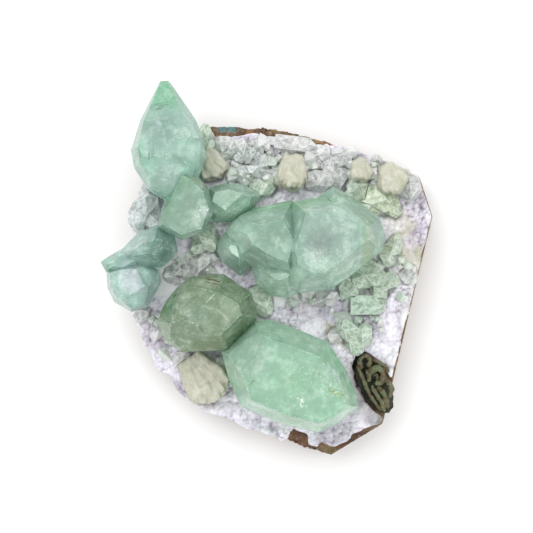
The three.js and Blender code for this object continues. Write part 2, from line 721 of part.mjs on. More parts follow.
// The hollow's space from its floor up, over an outline moved out by `grow`.
function hollowSpace(grow, low, high) {
  const turn = THREE.MathUtils.degToRad(HOLLOW.turn);
  const points = [];
  for (let i = 0; i < HOLLOW.sides; i += 1) {
    const angle = (2 * Math.PI * i) / HOLLOW.sides;
    const u = Math.cos(angle) * (HOLLOW.length / 2 + grow);
    const v = Math.sin(angle) * (HOLLOW.width / 2 + grow);
    points.push([
      HOLLOW.at[0] + u * Math.cos(turn) - v * Math.sin(turn),
      HOLLOW.at[1] + u * Math.sin(turn) + v * Math.cos(turn),
    ]);
  }
  return prismOf(points, low, high);
}

// The assembly

const FINISH = {
  basalt: { color: 0x54483a, roughness: 0.9 },
  chalcedony: { color: 0xe6e3ec, roughness: 0.6 },
  apophyllite: { color: 0x9fc8b0, roughness: 0.15, transparent: true, opacity: 0.8 },
  stilbite: { color: 0xcccdb8, roughness: 0.5 },
  celadonite: { color: 0x3c4630, roughness: 0.8 },
};

const cluster = new THREE.Group();

function place(name, solid, finish) {
  const material = new THREE.MeshStandardMaterial({ metalness: 0, ...FINISH[finish] });
  const mesh = new THREE.Mesh(geometryOf(largestBody(solid)), material);
  mesh.name = name;
  cluster.add(mesh);
}

// Pieces are listed from the first grown to the last. Each keeps clear of the ones before it,
// and the crust and the slab keep clear of them all.
const pieces = Object.entries(LARGE).map(([name, members]) => [name, members, 'apophyllite']);
for (const [name, rows] of Object.entries(SMALL)) {
  pieces.push([name, rows.map(littleCrystal), 'apophyllite']);
}
for (const [name, size] of Object.entries(SHEAVES)) {
  pieces.push([name, sheafBlades(size), 'stilbite']);
}

// A large crystal sits in a socket of its own shape. A clump or a sheaf has one socket for all.
const sockets = wasm.Manifold.union([
  ...Object.values(LARGE).flat().map((planes) => bodyOf(planes, SEAM)),
  ...pieces.filter(([name]) => !(name in LARGE)).map(([, members]) => solidOf(
    new ConvexGeometry(members.flatMap((planes) => cornersOf(planes, SEAM))))),
]);
const hollowFloor = hollowSpace(0, CRUST_FOOT, HOLLOW_FLOOR + WORM_BED);
const worms = wasm.Manifold.union([hollowFloor, ...WORMS.map(worm)])
  .intersect(hollowSpace(0, CRUST_FOOT, HOLLOW_ROOF)).subtract(sockets);
const hollow = hollowSpace(SEAM, SLAB_TOP, HOLLOW_ROOF);

place('basalt_matrix', basaltSlab().subtract(sockets), 'basalt');
place('chalcedony_crust', chalcedonyCrust().subtract(sockets).subtract(hollow), 'chalcedony');
place('celadonite_worms', worms, 'celadonite');

const taken = [];
for (const [name, members, finish] of pieces) {
  let solid = wasm.Manifold.union(members.map((planes) => bodyOf(planes)));
  for (const socket of taken) solid = solid.subtract(socket);
  place(name, solid, finish);
  taken.push(wasm.Manifold.union(members.map((planes) => bodyOf(planes, SEAM))));
}

// The specimen's origin is on the base, under the middle of its box.
const middle = new THREE.Box3().setFromObject(cluster).getCenter(new THREE.Vector3());
cluster.position.set(-middle.x, -middle.y, 0);
const specimen = new THREE.Group().add(cluster);

export default specimen;
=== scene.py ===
"""The looks of an apophyllite specimen: green crystals on knobbly chalcedony over sawn basalt.

Metres, +Z up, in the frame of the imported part. Places that are seen from above are given in
millimetres from the point under the camera, and patterns have their scale in repeats per metre.
"""

import json
import math

import bmesh
import bpy
import numpy as np
from mathutils import Matrix, Vector, noise
from mathutils.bvhtree import BVHTree
from mathutils.kdtree import KDTree


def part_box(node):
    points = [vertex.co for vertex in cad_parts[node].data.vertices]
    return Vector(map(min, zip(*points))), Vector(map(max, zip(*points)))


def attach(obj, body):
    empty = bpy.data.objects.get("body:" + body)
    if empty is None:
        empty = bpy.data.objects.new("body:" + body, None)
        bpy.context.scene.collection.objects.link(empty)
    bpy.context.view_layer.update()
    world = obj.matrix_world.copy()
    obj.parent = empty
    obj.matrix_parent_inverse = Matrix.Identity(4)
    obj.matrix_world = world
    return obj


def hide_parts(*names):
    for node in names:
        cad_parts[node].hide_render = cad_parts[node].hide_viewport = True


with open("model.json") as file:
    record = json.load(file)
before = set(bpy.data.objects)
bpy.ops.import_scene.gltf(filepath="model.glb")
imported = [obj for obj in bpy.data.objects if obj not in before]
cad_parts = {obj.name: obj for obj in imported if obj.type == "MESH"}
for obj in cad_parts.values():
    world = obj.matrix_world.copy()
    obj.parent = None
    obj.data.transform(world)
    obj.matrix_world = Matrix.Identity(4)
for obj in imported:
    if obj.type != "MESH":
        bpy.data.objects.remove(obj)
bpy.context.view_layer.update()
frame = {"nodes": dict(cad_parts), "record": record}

bl_info = {
    "name": "Apophyllite Specimen",
    "version": (1, 0, 0),
    "blender": (4, 5, 0),
    "location": "View3D > Sidebar > Specimen",
    "description": "Builds the visible pieces of an apophyllite specimen on its packed frame",
    "category": "Object",
}

BODY = "root"
MM = 0.001

# The camera stands over this point of the part, at this height.
EYE = Vector((-0.85, 1.44, 480.0)) * MM
LENS = 104.0
SENSOR = 36.0


def over(x, y):
    """The place in the part's frame of a point given in millimetres from under the camera."""
    return EYE.x + x * MM, EYE.y + y * MM


def srgb(*levels):
    """A linear colour from levels of 0 to 255."""
    shares = (level / 255 for level in levels)
    return tuple(s / 12.92 if s <= 0.04045 else ((s + 0.055) / 1.055) ** 2.4 for s in shares)


# Sizes and colours that a user would change


def length_of(name, description, default, low=0.0, high=0.02):
    return bpy.props.FloatProperty(
        name=name, description=description, default=default, min=low, max=high, precision=5,
        unit="LENGTH", subtype="DISTANCE")


def colour_of(name, description, default):
    return bpy.props.FloatVectorProperty(
        name=name, description=description, default=default, min=0, max=1, size=3,
        subtype="COLOR")


class SpecimenSizes(bpy.types.PropertyGroup):
    crust_cell: length_of("Crust cell", "Spacing of the chalcedony's mesh", 0.00040, 0.0003)
    knob_spacing: length_of(
        "Knob spacing", "Mean distance between the chalcedony's small knobs", 0.0015, 0.0008)
    knob_height: length_of("Knob height", "How far the small knobs stand out", 0.0007)
    lobe_spacing: length_of(
        "Lobe spacing", "Mean distance between the chalcedony's larger lobes", 0.0038, 0.002)
    slab_cell: length_of("Slab cell", "Spacing of the basalt's mesh", 0.0007, 0.0004)
    slab_rough: length_of("Slab roughness", "Height of the grain on broken basalt", 0.0008)
    crystal_edge: length_of("Crystal edge", "Width of the large crystals' worn edges", 0.0002)
    rim_width: length_of("Rim width", "Width of the rim beside a crystal's ridges", 0.0013)
    step_height: length_of("Step height", "Height of the growth steps on crystal faces", 0.000025)
    crystal_cell: length_of("Crystal cell", "Longest edge in a crystal's mesh", 0.0008, 0.0004)
    tiny_length: length_of(
        "Tiny crystal length", "Middle of the strewn crystals' range of lengths", 0.0030)


class SpecimenColours(bpy.types.PropertyGroup):
    chalcedony: colour_of("Chalcedony", "The chalcedony's knobs", srgb(238, 236, 243))
    # Painted shade: the lilac colour that the crust's creases turn towards.
    crevice: colour_of("Crevice", "Lilac between the knobs", srgb(144, 134, 150))
    basalt: colour_of("Basalt", "Brown of broken basalt", srgb(92, 68, 52))
    rim: colour_of("Rim", "Olive tan of the basalt's rim", srgb(140, 122, 88))
    stilbite: colour_of("Stilbite", "Cream of the stilbite", srgb(198, 198, 180))
    celadonite: colour_of("Celadonite", "Dark green of the worms", srgb(92, 98, 68))
    spire: colour_of("Spire", "The upper left crystal", srgb(162, 202, 186))
    shoulder: colour_of("Shoulder", "The crystals below the spire", srgb(170, 204, 184))
    west: colour_of("West", "The crystals at the far left", srgb(174, 204, 196))
    centre: colour_of("Centre", "The widest crystals, in the middle", srgb(174, 204, 188))
    lower_left: colour_of("Lower left", "The yellowish lower left crystal", srgb(138, 162, 130))
    lower_right: colour_of("Lower right", "The bright lower right crystal", srgb(176, 216, 192))
    small_green: colour_of("Small green", "Small green crystals", srgb(216, 236, 212))
    small_clear: colour_of("Small clear", "Small clear crystals", srgb(246, 250, 248))


# Shader nodes


def new_material(name):
    material = bpy.data.materials.new(name)
    material.use_nodes = True
    return material, material.node_tree, material.node_tree.nodes["Principled BSDF"]


def put(tree, socket, value):
    if isinstance(value, bpy.types.NodeSocket):
        tree.links.new(value, socket)
    elif socket.type == "RGBA" and len(value) == 3:
        socket.default_value = (*value, 1.0)
    else:
        socket.default_value = value


def add(tree, kind, sockets=None, **settings):
    """A new shader node with its settings, and its sockets set or linked."""
    made = tree.nodes.new(kind)
    for key, value in settings.items():
        setattr(made, key, value)
    for key, value in (sockets or {}).items():
        put(tree, made.inputs[key], value)
    return made


def set_shader(tree, shader, sockets):
    for key, value in sockets.items():
        put(tree, shader.inputs[key], value)


def object_space(tree):
    return add(tree, "ShaderNodeTexCoord").outputs["Object"]


def stretched(tree, vector, turn, long, short):
    """Coordinates for streaks that run along a turn, each this long and this wide in metres."""
    sockets = {
        "Vector": vector, "Rotation": (0, 0, math.radians(turn)), "Scale": (long, short, long),
    }
    return add(tree, "ShaderNodeMapping", sockets, vector_type="TEXTURE").outputs["Vector"]


def noise_of(tree, vector, scale, detail=4.0, roughness=0.55, distortion=0.0):
    sockets = {
        "Vector": vector, "Scale": scale, "Detail": detail, "Roughness": roughness,
        "Distortion": distortion,
    }
    return add(tree, "ShaderNodeTexNoise", sockets).outputs["Fac"]


def ramp(tree, value, low, high, out_low=0.0, out_high=1.0):
    sockets = {
        "Value": value, "From Min": low, "From Max": high, "To Min": out_low, "To Max": out_high,
    }
    return add(tree, "ShaderNodeMapRange", sockets, interpolation_type="SMOOTHSTEP").outputs[0]


def calc(tree, operation, a, b=0.0):
    return add(tree, "ShaderNodeMath", {0: a, 1: b}, operation=operation).outputs[0]


def product(tree, *values):
    result = values[0]
    for value in values[1:]:
        result = calc(tree, "MULTIPLY", result, value)
    return result


def mix(tree, share, first, second, kind="MIX"):
    """One colour over another, by a share from 0 to 1."""
    made = add(tree, "ShaderNodeMix", data_type="RGBA", blend_type=kind)
    for name, value in (("Factor", share), ("A", first), ("B", second)):
        put(tree, next(s for s in made.inputs if s.name == name and s.enabled), value)
    return next(s for s in made.outputs if s.enabled)


def attribute(tree, name):
    return add(tree, "ShaderNodeAttribute", attribute_name=name).outputs["Fac"]


def bump(tree, height, strength, distance):
    sockets = {"Height": height, "Strength": strength, "Distance": distance}
    return add(tree, "ShaderNodeBump", sockets).outputs["Normal"]


def spot_of(tree, vector, spot, softness=0.5):
    """A soft upright column: 1 on its axis and 0 outside, from place, half sizes and turn."""
    x, y, long, short, turn = spot
    sockets = {
        "Vector": vector, "Location": (*over(x, y), 0), "Rotation": (0, 0, math.radians(turn)),
        "Scale": (long * MM, short * MM, 1000.0),
    }
    placed = add(tree, "ShaderNodeMapping", sockets, vector_type="TEXTURE").outputs["Vector"]
    far = add(tree, "ShaderNodeVectorMath", {0: placed}, operation="LENGTH").outputs["Value"]
    return ramp(tree, far, 1.0, 1.0 - softness)


def shards(tree, vector, scale):
    """Random values from 0 to 1 for cells with flat sides, and how near a place is to a side."""
    sockets = {"Vector": vector, "Scale": scale}
    cells = add(tree, "ShaderNodeTexVoronoi", sockets).outputs["Color"]
    value = add(tree, "ShaderNodeSeparateColor", {"Color": cells}).outputs["Red"]
    sides = add(tree, "ShaderNodeTexVoronoi", sockets, feature="DISTANCE_TO_EDGE")
    return value, ramp(tree, sides.outputs["Distance"], 0.05, 0.01)


# Meshes


def cad_mesh(name, doubles=1e-5):
    """A bmesh copy of a CAD node, with its loose triangles joined and flat faces made whole."""
    made = bmesh.new()
    made.from_mesh(frame["nodes"][name].data)
    bmesh.ops.remove_doubles(made, verts=made.verts, dist=doubles)
    bmesh.ops.dissolve_limit(
        made, angle_limit=math.radians(0.8), verts=made.verts, edges=made.edges)
    return made


def finish_piece(made, name, material, nodes=(), smooth_below=0):
    """Turns a bmesh into a named piece that rides on the part, smooth over blunter edges."""
    mesh = bpy.data.meshes.new(name)
    made.to_mesh(mesh)
    made.free()
    mesh.materials.append(material)
    if smooth_below:
        mesh.shade_smooth()
        mesh.set_sharp_from_angle(angle=math.radians(smooth_below))
    piece = bpy.data.objects.new(name, mesh)
    bpy.context.scene.collection.objects.link(piece)
    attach(piece, BODY)
    if nodes:
        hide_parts(*nodes)


def tree_of(names):
    """One search tree over the meshes of several objects."""
    made = bmesh.new()
    for name in names:
        made.from_mesh(bpy.data.objects[name].data)
    tree = BVHTree.FromBMesh(made)
    made.free()
    return tree


def drift(place):
    """Smooth noise in each of the three directions."""
    shifts = (Vector((9.3, -1.5, -7.9)), Vector(), Vector((6.3, 0.1, 2.7)))
    return Vector([noise.noise(place + shift) for shift in shifts])


def scatter(*seed):
    """A number from 0 to 1 that depends only on the seed."""
    value = math.sin(sum(s * k for s, k in zip(seed, (127.1, 311.7, 74.7, 191.3)))) * 43758.5453
    return value - math.floor(value)


def scatter_field(a, b):
    value = np.sin(a * 127.1 + b * 311.7) * 43758.5453
    return value - np.floor(value)


def spot_share(x, y, spot, softness=0.5):
    """What spot_of gives in a shader, for arrays of places."""
    cx, cy, long, short, turn = spot
    px, py = over(cx, cy)
    c, s = math.cos(math.radians(turn)), math.sin(math.radians(turn))
    u = ((x - px) * c + (y - py) * s) / (long * MM)
    v = (-(x - px) * s + (y - py) * c) / (short * MM)
    return np.clip((1 - np.sqrt(u * u + v * v)) / softness, 0.0, 1.0)


# The chalcedony crust

# Each spot is a place, half length, half width and turn.
CRUST_SPOTS = {
    "smooth": [(-32, -3, 6, 8, 10), (9, -9.2, 9, 2.4, 8), (-26.5, 1, 5, 4, 0), (43, -17, 3, 6, 10)],
    # Lilac places: deep crevices that lie lower and get more painted shade.
    "lilac": [
        (11, -12.5, 8, 3.4, 8), (45, 9, 4.5, 8, 10), (31, -17, 9, 4, -50), (43, -18, 5, 11, 12),
        (23, -13, 6, 4.6, 0), (-33, -20, 5, 9, 20), (-3, 26, 10, 4, 10), (-22, -38, 12, 3, -20),
        (20, -50, 9, 4, 25), (44, 18, 5, 6, 0),
    ],
    "cream": [
        (42, 1, 4, 8, 10), (40, 13, 6, 6, 0), (-19, 33, 4, 6, 0), (39, 30, 9, 4, -20),
        (47, -2, 3, 14, 12), (22, -21, 8, 3, -35),
    ],
    # Grey places: painted shade, mostly on the steep wall beside the hollow.
    "grey": [(28.4, -37.0, 13, 5.6, -67), (36, -47, 4, 5, 20), (5, -20, 7, 3, -35)],
}
HOLLOW = (33.5, -35.6, 10.6, 4.1, -64)

# Ground that is lower than this over the crust's foot is not its top.
LEAST_HEIGHT = 0.002

# The widest swellings' spacing as a share of the lobes' spacing.
SWELL_SPACING = 2.4

# The middle height of a dome, and how strongly swellings, lobes and knobs rise from it.
DOME_LEVEL = 0.7
SWELL_RISE = 2.4
LOBE_RISE = 1.7
KNOB_RISE = 1.1

# How much painted shade darkens the creases between knobs, and between lobes or swellings.
KNOB_CREASE_SHADE = 0.70
LOBE_CREASE_SHADE = 0.34

# How far the lilac places lie lower; they also get more painted shade.
LILAC_SINK = 0.0006

# Width of the flat strip along a saw cut.
SAWN_STRIP = 0.0009

# How often the stepped rim of the crust is smoothed.
RIM_PASSES = 8

# The crust's wall: its courses, how far it wanders, and repeats per metre of that and of its lumps.
SKIRT_COURSES = 8
SKIRT_WANDER = 0.0005
SKIRT_SCALE = 420
SKIRT_LUMPS = (900, 330)

# The two ends of each stretch that the saw cut.
SAWN_SIDES = [
    ((46.7, 27.3), (50.8, 15.3)), ((50.8, 15.3), (35.5, -48.0)), ((35.5, -48.0), (19.8, -57.5)),
]


def off_stretch(x, y, ends):
    """Distance from places to a stretch between two ends. Works on arrays too."""
    (ax, ay), (bx, by) = (over(*e) for e in ends)
    t = ((x - ax) * (bx - ax) + (y - ay) * (by - ay)) / ((bx - ax) ** 2 + (by - ay) ** 2)
    t = np.clip(t, 0.0, 1.0)
    return np.hypot(x - ax - (bx - ax) * t, y - ay - (by - ay) * t)


def outline_of(made, level):
    """The longest loop of edges round the faces that lie flat at this level."""
    flat = {
        f for f in made.faces
        if f.normal.z < -0.9 and abs(f.calc_center_median().z - level) < 0.0002
    }
    left = dict.fromkeys(
        e for e in made.edges if sum(f in flat for f in e.link_faces) == 1)
    beside = {}
    for edge in left:
        for vertex in edge.verts:
            beside.setdefault(vertex, []).append(edge)
    loops = []
    while left:
        edge, _ = left.popitem()
        start, here = edge.verts
        loop = [start]
        while here != start:
            loop.append(here)
            edge = next((e for e in beside[here] if e in left), None)
            if edge is None:
                break
            del left[edge]
            here = edge.other_vert(here)
        loops.append([v.co.copy() for v in loop])
    return max(loops, key=lambda loop: sum((a - b).length for a, b in zip(loop, loop[1:])))


def inside(outline, x, y):
    """Which places of the arrays lie inside the closed outline."""
    hit = np.zeros(x.shape, dtype=bool)
    for a, b in zip(outline, outline[1:] + outline[:1]):
        if a.y != b.y:
            crosses = (a.y > y) != (b.y > y)
            hit ^= crosses & (x < (b.x - a.x) * (y - a.y) / (b.y - a.y) + a.x)
    return hit


def blurred(height):
    wide = np.pad(height, 1, mode="edge")
    return (
        wide[1:-1, 1:-1] * 4 + (wide[:-2, 1:-1] + wide[2:, 1:-1]) * 2
        + (wide[1:-1, :-2] + wide[1:-1, 2:]) * 2
        + wide[:-2, :-2] + wide[:-2, 2:] + wide[2:, :-2] + wide[2:, 2:]
    ) / 16


def crust_heights(made, xs, ys, least):
    """Heights of the CAD crust over a grid, with the crystals' sockets filled in."""
    tree = BVHTree.FromBMesh(made)
    height = np.zeros((len(ys), len(xs)))
    down = Vector((0, 0, -1))
    for j, y in enumerate(ys):
        for i, x in enumerate(xs):
            place, normal, _, _ = tree.ray_cast(Vector((x, y, 0.1)), down)
            if place and normal.z > 0.25 and place.z > least:
                height[j, i] = place.z
    known = height > 0
    filled = np.where(known, height, height[known].mean())
    for _ in range(160):
        filled = np.where(known, height, blurred(filled))
    for _ in range(6):
        filled = blurred(filled)
    return filled


def soft_noise(x, y, spacing, seed):
    """Smooth noise from 0 to 1 over arrays of places."""
    u, v = x / spacing, y / spacing
    i, j = np.floor(u), np.floor(v)
    f, g = ((w - k) ** 2 * (3 - 2 * (w - k)) for w, k in ((u, i), (v, j)))
    low = scatter_field(i + seed, j) * (1 - f) + scatter_field(i + seed + 1, j) * f
    high = scatter_field(i + seed, j + 1) * (1 - f) + scatter_field(i + seed + 1, j + 1) * f
    return low * (1 - g) + high * g


def knob_field(x, y, spacing, seed):
    """Domes on a jittered lattice: their height, and how deep in a crease each place is."""
    wander = spacing * 1.4
    x, y = (
        x + wander * (soft_noise(x, y, spacing * 2.7, seed) - 0.5),
        y + wander * (soft_noise(x, y, spacing * 2.7, seed + 50) - 0.5),
    )
    column, row = np.round(x / spacing), np.round(y / spacing)
    best = np.full(x.shape, -1.0)
    second = np.full(x.shape, -1.0)
    for di in (-1, 0, 1):
        for dj in (-1, 0, 1):
            i, j = column + di, row + dj
            kx = (i + (scatter_field(i + seed, j) - 0.5) * 0.85) * spacing
            ky = (j + (scatter_field(j, i + seed + 40) - 0.5) * 0.85) * spacing
            radius = spacing * (0.62 + 0.34 * scatter_field(i + 9, j + seed))
            dome = 1 - ((x - kx) ** 2 + (y - ky) ** 2) / radius ** 2
            second = np.maximum(second, np.minimum(best, dome))
            best = np.maximum(best, dome)
    height = np.sqrt(np.clip(best, 0, 1))
    crease = np.clip(1 - (best - second) * 2.0, 0, 1) * np.clip(1.2 - best, 0, 1)
    return height, crease


def build_crust(sizes, colours):
    low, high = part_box("chalcedony_crust")
    made = cad_mesh("chalcedony_crust")
    outline = outline_of(made, low[2])
    cell = sizes.crust_cell
    xs = np.arange(low[0], high[0] + cell, cell)
    ys = np.arange(low[1], high[1] + cell, cell)
    height = crust_heights(made, xs, ys, low[2] + LEAST_HEIGHT)
    made.free()
    x, y = np.meshgrid(xs, ys)
    values = {
        name: np.max([spot_share(x, y, s) for s in spots], axis=0)
        for name, spots in CRUST_SPOTS.items()
    }
    sawn = np.min([off_stretch(x, y, ends) for ends in SAWN_SIDES], axis=0)
    values["sawn"] = np.clip(1.6 - sawn / SAWN_STRIP, 0, 1)
    swells, between_swells = knob_field(x, y, sizes.lobe_spacing * SWELL_SPACING, 21.0)
    lobes, between_lobes = knob_field(x, y, sizes.lobe_spacing, 3.0)
    knobs, between_knobs = knob_field(x, y, sizes.knob_spacing, 11.0)
    vary = 0.45 + 0.9 * soft_noise(x, y, 0.006, 5.0)
    rise = sizes.knob_height * (1 - 0.85 * values["smooth"]) * (1 - values["sawn"])
    height += rise * (
        (swells - DOME_LEVEL) * SWELL_RISE + (lobes - DOME_LEVEL) * LOBE_RISE
        + (knobs - DOME_LEVEL) * vary * KNOB_RISE)
    height -= values["lilac"] * LILAC_SINK
    # Painted shade in the creases between knobs, lobes and swellings, less on the smooth places.
    crease = (
        between_knobs * KNOB_CREASE_SHADE * vary + between_lobes * LOBE_CREASE_SHADE
        + between_swells * LOBE_CREASE_SHADE)
    values["crease"] = np.clip(crease, 0, 1) * (1 - 0.85 * values["smooth"])
    ragged = 0.02 + 0.3 * soft_noise(x, y, 0.0028, 60.0)
    keep = inside(outline, x, y) & (spot_share(x, y, HOLLOW, 1.0) <= ragged)
    body = bmesh.new()
    layers = {name: body.verts.layers.float.new(name) for name in values}
    bmesh.ops.create_grid(
        body, x_segments=len(xs) - 1, y_segments=len(ys) - 1, size=0.5,
        matrix=Matrix.Translation((0.5, 0.5, 0)))
    outside = []
    for vertex in body.verts:
        i = round(vertex.co.x * (len(xs) - 1))
        j = round(vertex.co.y * (len(ys) - 1))
        vertex.co = (xs[i], ys[j], height[j, i])
        for name, layer in layers.items():
            vertex[layer] = values[name][j, i]
        if not keep[j, i]:
            outside.append(vertex)
    bmesh.ops.delete(body, geom=outside, context="VERTS")
    loose = [v for v in body.verts if not v.link_faces]
    bmesh.ops.delete(body, geom=loose, context="VERTS")
    smooth_rim(body, RIM_PASSES)
    drop_skirt(body, low[2])
    finish_piece(
        body, "chalcedony_knobs", chalcedony_material(colours),
        ["chalcedony_crust"], smooth_below=180)


def smooth_rim(body, passes):
    """Takes the steps of the grid out of an open sheet's rim."""
    rim = [v for v in body.verts if v.is_boundary]
    for _ in range(passes):
        moved = []
        for vertex in rim:
            beside = [e.other_vert(vertex).co for e in vertex.link_edges if e.is_boundary]
            middle = sum(beside, Vector()) / len(beside)
            moved.append((vertex.co + middle) / 2)
        for vertex, place in zip(rim, moved):
            vertex.co.xy = place.xy


def drop_skirt(body, foot):
    """Closes an open sheet with a knobbly wall down to the foot and a flat bottom."""
    crease = body.verts.layers.float["crease"]
    sawn = body.verts.layers.float["sawn"]
    rim = [e for e in body.edges if e.is_boundary]
    for left in range(SKIRT_COURSES, 0, -1):
        out = bmesh.ops.extrude_edge_only(body, edges=rim)["geom"]
        rim = [g for g in out if isinstance(g, bmesh.types.BMEdge) and g.is_boundary]
        for vertex in (g for g in out if isinstance(g, bmesh.types.BMVert)):
            vertex.co.z -= (vertex.co.z - foot) / left
            if left > 1:
                loose = SKIRT_WANDER * (1 - vertex[sawn])
                vertex.co.xy += drift(vertex.co * SKIRT_SCALE).xy * loose
                # The wall gets the same crevice colour in patches, from noise.
                lump = sum(noise.noise(vertex.co * scale) for scale in SKIRT_LUMPS)
                vertex[crease] = min(1.0, max(0.0, 0.25 + 0.8 * lump))
    bmesh.ops.holes_fill(body, edges=[e for e in body.edges if e.is_boundary], sides=0)
    bmesh.ops.recalc_face_normals(body, faces=body.faces)
    if body.calc_volume(signed=True) < 0:
        bmesh.ops.reverse_faces(body, faces=body.faces)


def chalcedony_material(colours):
    material, tree, shader = new_material("knobbly chalcedony")
    space = object_space(tree)
    broad = noise_of(tree, space, 90, 3)
    fine = noise_of(tree, space, 1500, 5, 0.6)
    grain = noise_of(tree, space, 5200, 3, 0.6)
    knob = mix(tree, ramp(tree, broad, 0.35, 0.68), tuple(colours.chalcedony), srgb(228, 224, 238))
    knob = mix(tree, ramp(tree, fine, 0.45, 0.75, 0.0, 0.6), knob, srgb(248, 247, 250))
    # Painted shade: the creases, and the lilac places further still, turn towards the crevice
    # colour.
    depth = calc(
        tree, "ADD", attribute(tree, "crease"), product(tree, attribute(tree, "lilac"), 0.34))
    depth = product(tree, depth, ramp(tree, fine, 0.2, 0.6, 0.6, 1.1))
    colour = mix(tree, depth, knob, tuple(colours.crevice))
    # Real stains of cream, white and olive tan, and the grey places' painted shade.
    stains_and_shade = (
        ("cream", srgb(190, 188, 160), 0.15, 0.75), ("grey", srgb(126, 124, 120), 0.6, 0.95),
        ("smooth", srgb(240, 240, 238), 0.6, 0.9), ("sawn", srgb(138, 130, 92), 0.85, 1.0),
    )
    for name, patch_colour, least, most in stains_and_shade:
        share = product(tree, attribute(tree, name), ramp(tree, broad, 0.4, 0.6, least, most))
        colour = mix(tree, share, colour, patch_colour)
    height = calc(tree, "ADD", fine, product(tree, grain, 0.5))
    set_shader(tree, shader, {
        "Base Color": colour, "Roughness": ramp(tree, fine, 0.3, 0.7, 0.42, 0.62),
        "Normal": bump(tree, height, 0.35, 0.0003), "IOR": 1.54,
    })
    return material


# The basalt slab

# Colour patches on the rim: place, half sizes and turn, colour, and how strong it is.
RIM_PATCHES = [
    ((-11.7, 41.8, 4.4, 1.6, 0), srgb(84, 146, 150), 0.9),
    ((19.0, 37.6, 5.0, 1.6, -10), srgb(198, 142, 96), 0.9),
    ((-3.0, 41.2, 5.5, 1.8, 0), srgb(150, 104, 66), 0.7),
    ((9.5, -53.5, 5.0, 4.5, -30), srgb(104, 58, 42), 0.9),
    ((24.0, -55.0, 9.0, 4.0, 28), srgb(96, 84, 56), 0.8),
]

# Repeats per metre of the broken basalt's grain, its lumps, its courses and their waves.
SLAB_GRAIN = 380
SLAB_LUMPS = 150
SLAB_COURSES = 700
SLAB_WAVES = 200

# How deep a course is cut into a side, as a share of the grain.
COURSE_DEPTH = 0.6


def remeshed(source, name, cell):
    """A copy of a bmesh as an even mesh of small cells."""
    mesh = bpy.data.meshes.new(name)
    source.to_mesh(mesh)
    source.free()
    holder = bpy.data.objects.new(name, mesh)
    bpy.context.scene.collection.objects.link(holder)
    remesh = holder.modifiers.new("Even cells", "REMESH")
    remesh.mode = "VOXEL"
    remesh.voxel_size = cell
    result = bmesh.new()
    result.from_object(holder, bpy.context.evaluated_depsgraph_get())
    bpy.data.objects.remove(holder)
    bpy.data.meshes.remove(mesh)
    return result


def build_slab(sizes, colours):
    low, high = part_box("basalt_matrix")
    made = remeshed(cad_mesh("basalt_matrix"), "slab cells", sizes.slab_cell)
    made.normal_update()
    near = sizes.slab_cell * 1.6
    for vertex in made.verts:
        co, normal = vertex.co, vertex.normal
        sawn = min(off_stretch(co.x, co.y, ends) for ends in SAWN_SIDES) < near
        if co.z < low[2] + near:
            co.z = low[2] if co.z < low[2] + near / 2 else co.z
        elif not sawn:
            grain = (
                noise.fractal(co * SLAB_GRAIN, 0.7, 2.1, 5) + 0.5 * noise.noise(co * SLAB_LUMPS))
            course = math.floor(co.z * SLAB_COURSES + 1.2 * noise.noise(co * SLAB_WAVES)) % 2
            push = abs(grain) + COURSE_DEPTH * course * (1 - abs(normal.z))
            vertex.co = co - normal * push * sizes.slab_rough
            vertex.co.z = min(max(vertex.co.z, low[2]), high[2])
    finish_piece(
        made, "basalt_slab", basalt_material(colours), ["basalt_matrix"], smooth_below=180)


def basalt_material(colours):
    material, tree, shader = new_material("weathered basalt")
    space = object_space(tree)
    broad = noise_of(tree, space, 70, 3)
    patch = noise_of(tree, space, 210, 5, 0.6, 0.6)
    grain = noise_of(tree, space, 1700, 6, 0.65)
    cells = add(tree, "ShaderNodeTexVoronoi", {"Vector": space, "Scale": 620.0})
    speck = cells.outputs["Distance"]
    colour = mix(tree, ramp(tree, patch, 0.42, 0.62), tuple(colours.basalt), tuple(colours.rim))
    colour = mix(tree, ramp(tree, broad, 0.5, 0.7, 0.0, 0.5), colour, srgb(162, 126, 92))
    for spot, patch_colour, strength in RIM_PATCHES:
        share = product(
            tree, spot_of(tree, space, spot, 0.6), ramp(tree, patch, 0.44, 0.54, 0.0, strength))
        colour = mix(tree, share, colour, patch_colour)
    colour = mix(tree, ramp(tree, grain, 0.5, 0.72, 0.0, 0.75), colour, srgb(52, 42, 34))
    colour = mix(tree, ramp(tree, speck, 0.32, 0.18, 0.0, 0.3), colour, srgb(176, 166, 142))
    height = calc(tree, "ADD", grain, product(tree, patch, 0.8))
    set_shader(tree, shader, {
        "Base Color": colour, "Roughness": ramp(tree, grain, 0.3, 0.7, 0.72, 0.95),
        "Normal": bump(tree, height, 0.6, 0.0005), "IOR": 1.5,
    })
    return material


# Apophyllite

# A colour in the lists below is made this much lighter, for what the clear share takes away.
LIFT = 1.14

# Edges that turn by more than this, in radians, are ridges with a rim beside them.
RIDGE = 0.3

# At most this many rounds of halving edges.
REFINE_ROUNDS = 24

# A small crystal's worn edges, rims and steps, and its mesh, as shares of a large one's.
SMALL_SHARE = 0.35
SMALL_CELL = 0.55

# Facets that turn by less than this, in degrees, are shaded as one.
FACET = 11

# Shares of the wanted width that are tried on worn edges, the widest first, and how far an edge
# has to turn, in degrees, to be worn.
WEAR_SHARES = (1.0, 0.6, 0.35)
WORN_TURN = 8

# Growth steps: repeats per metre of their levels and of their ragged edges, how many levels there
# are, and how steep a step is.
STEP_SCALE = 130
STEP_RAGGED = 420
STEP_LEVELS = 5
STEP_SLOPE = 4

# Repeats per metre of the noises inside a crystal, and of the flat-sided cells in a large one and
# in a small one.
VEIL = 210
MOTTLE = 760
SPARKLE = 2300
FROST = 1150
LARGE_SHARDS = 230.0
SMALL_SHARDS = 640.0

# How strongly frost whitens a small crystal.
ICY = 0.54

# Colours of the painted highlights along small crystals' edges, of lit cell sides and of painted
# glints.
EDGE_HIGHLIGHT = (0.97, 0.98, 0.97)
CELL_SIDE = (0.96, 0.98, 0.97)
GLINT = (0.96, 0.99, 0.97)

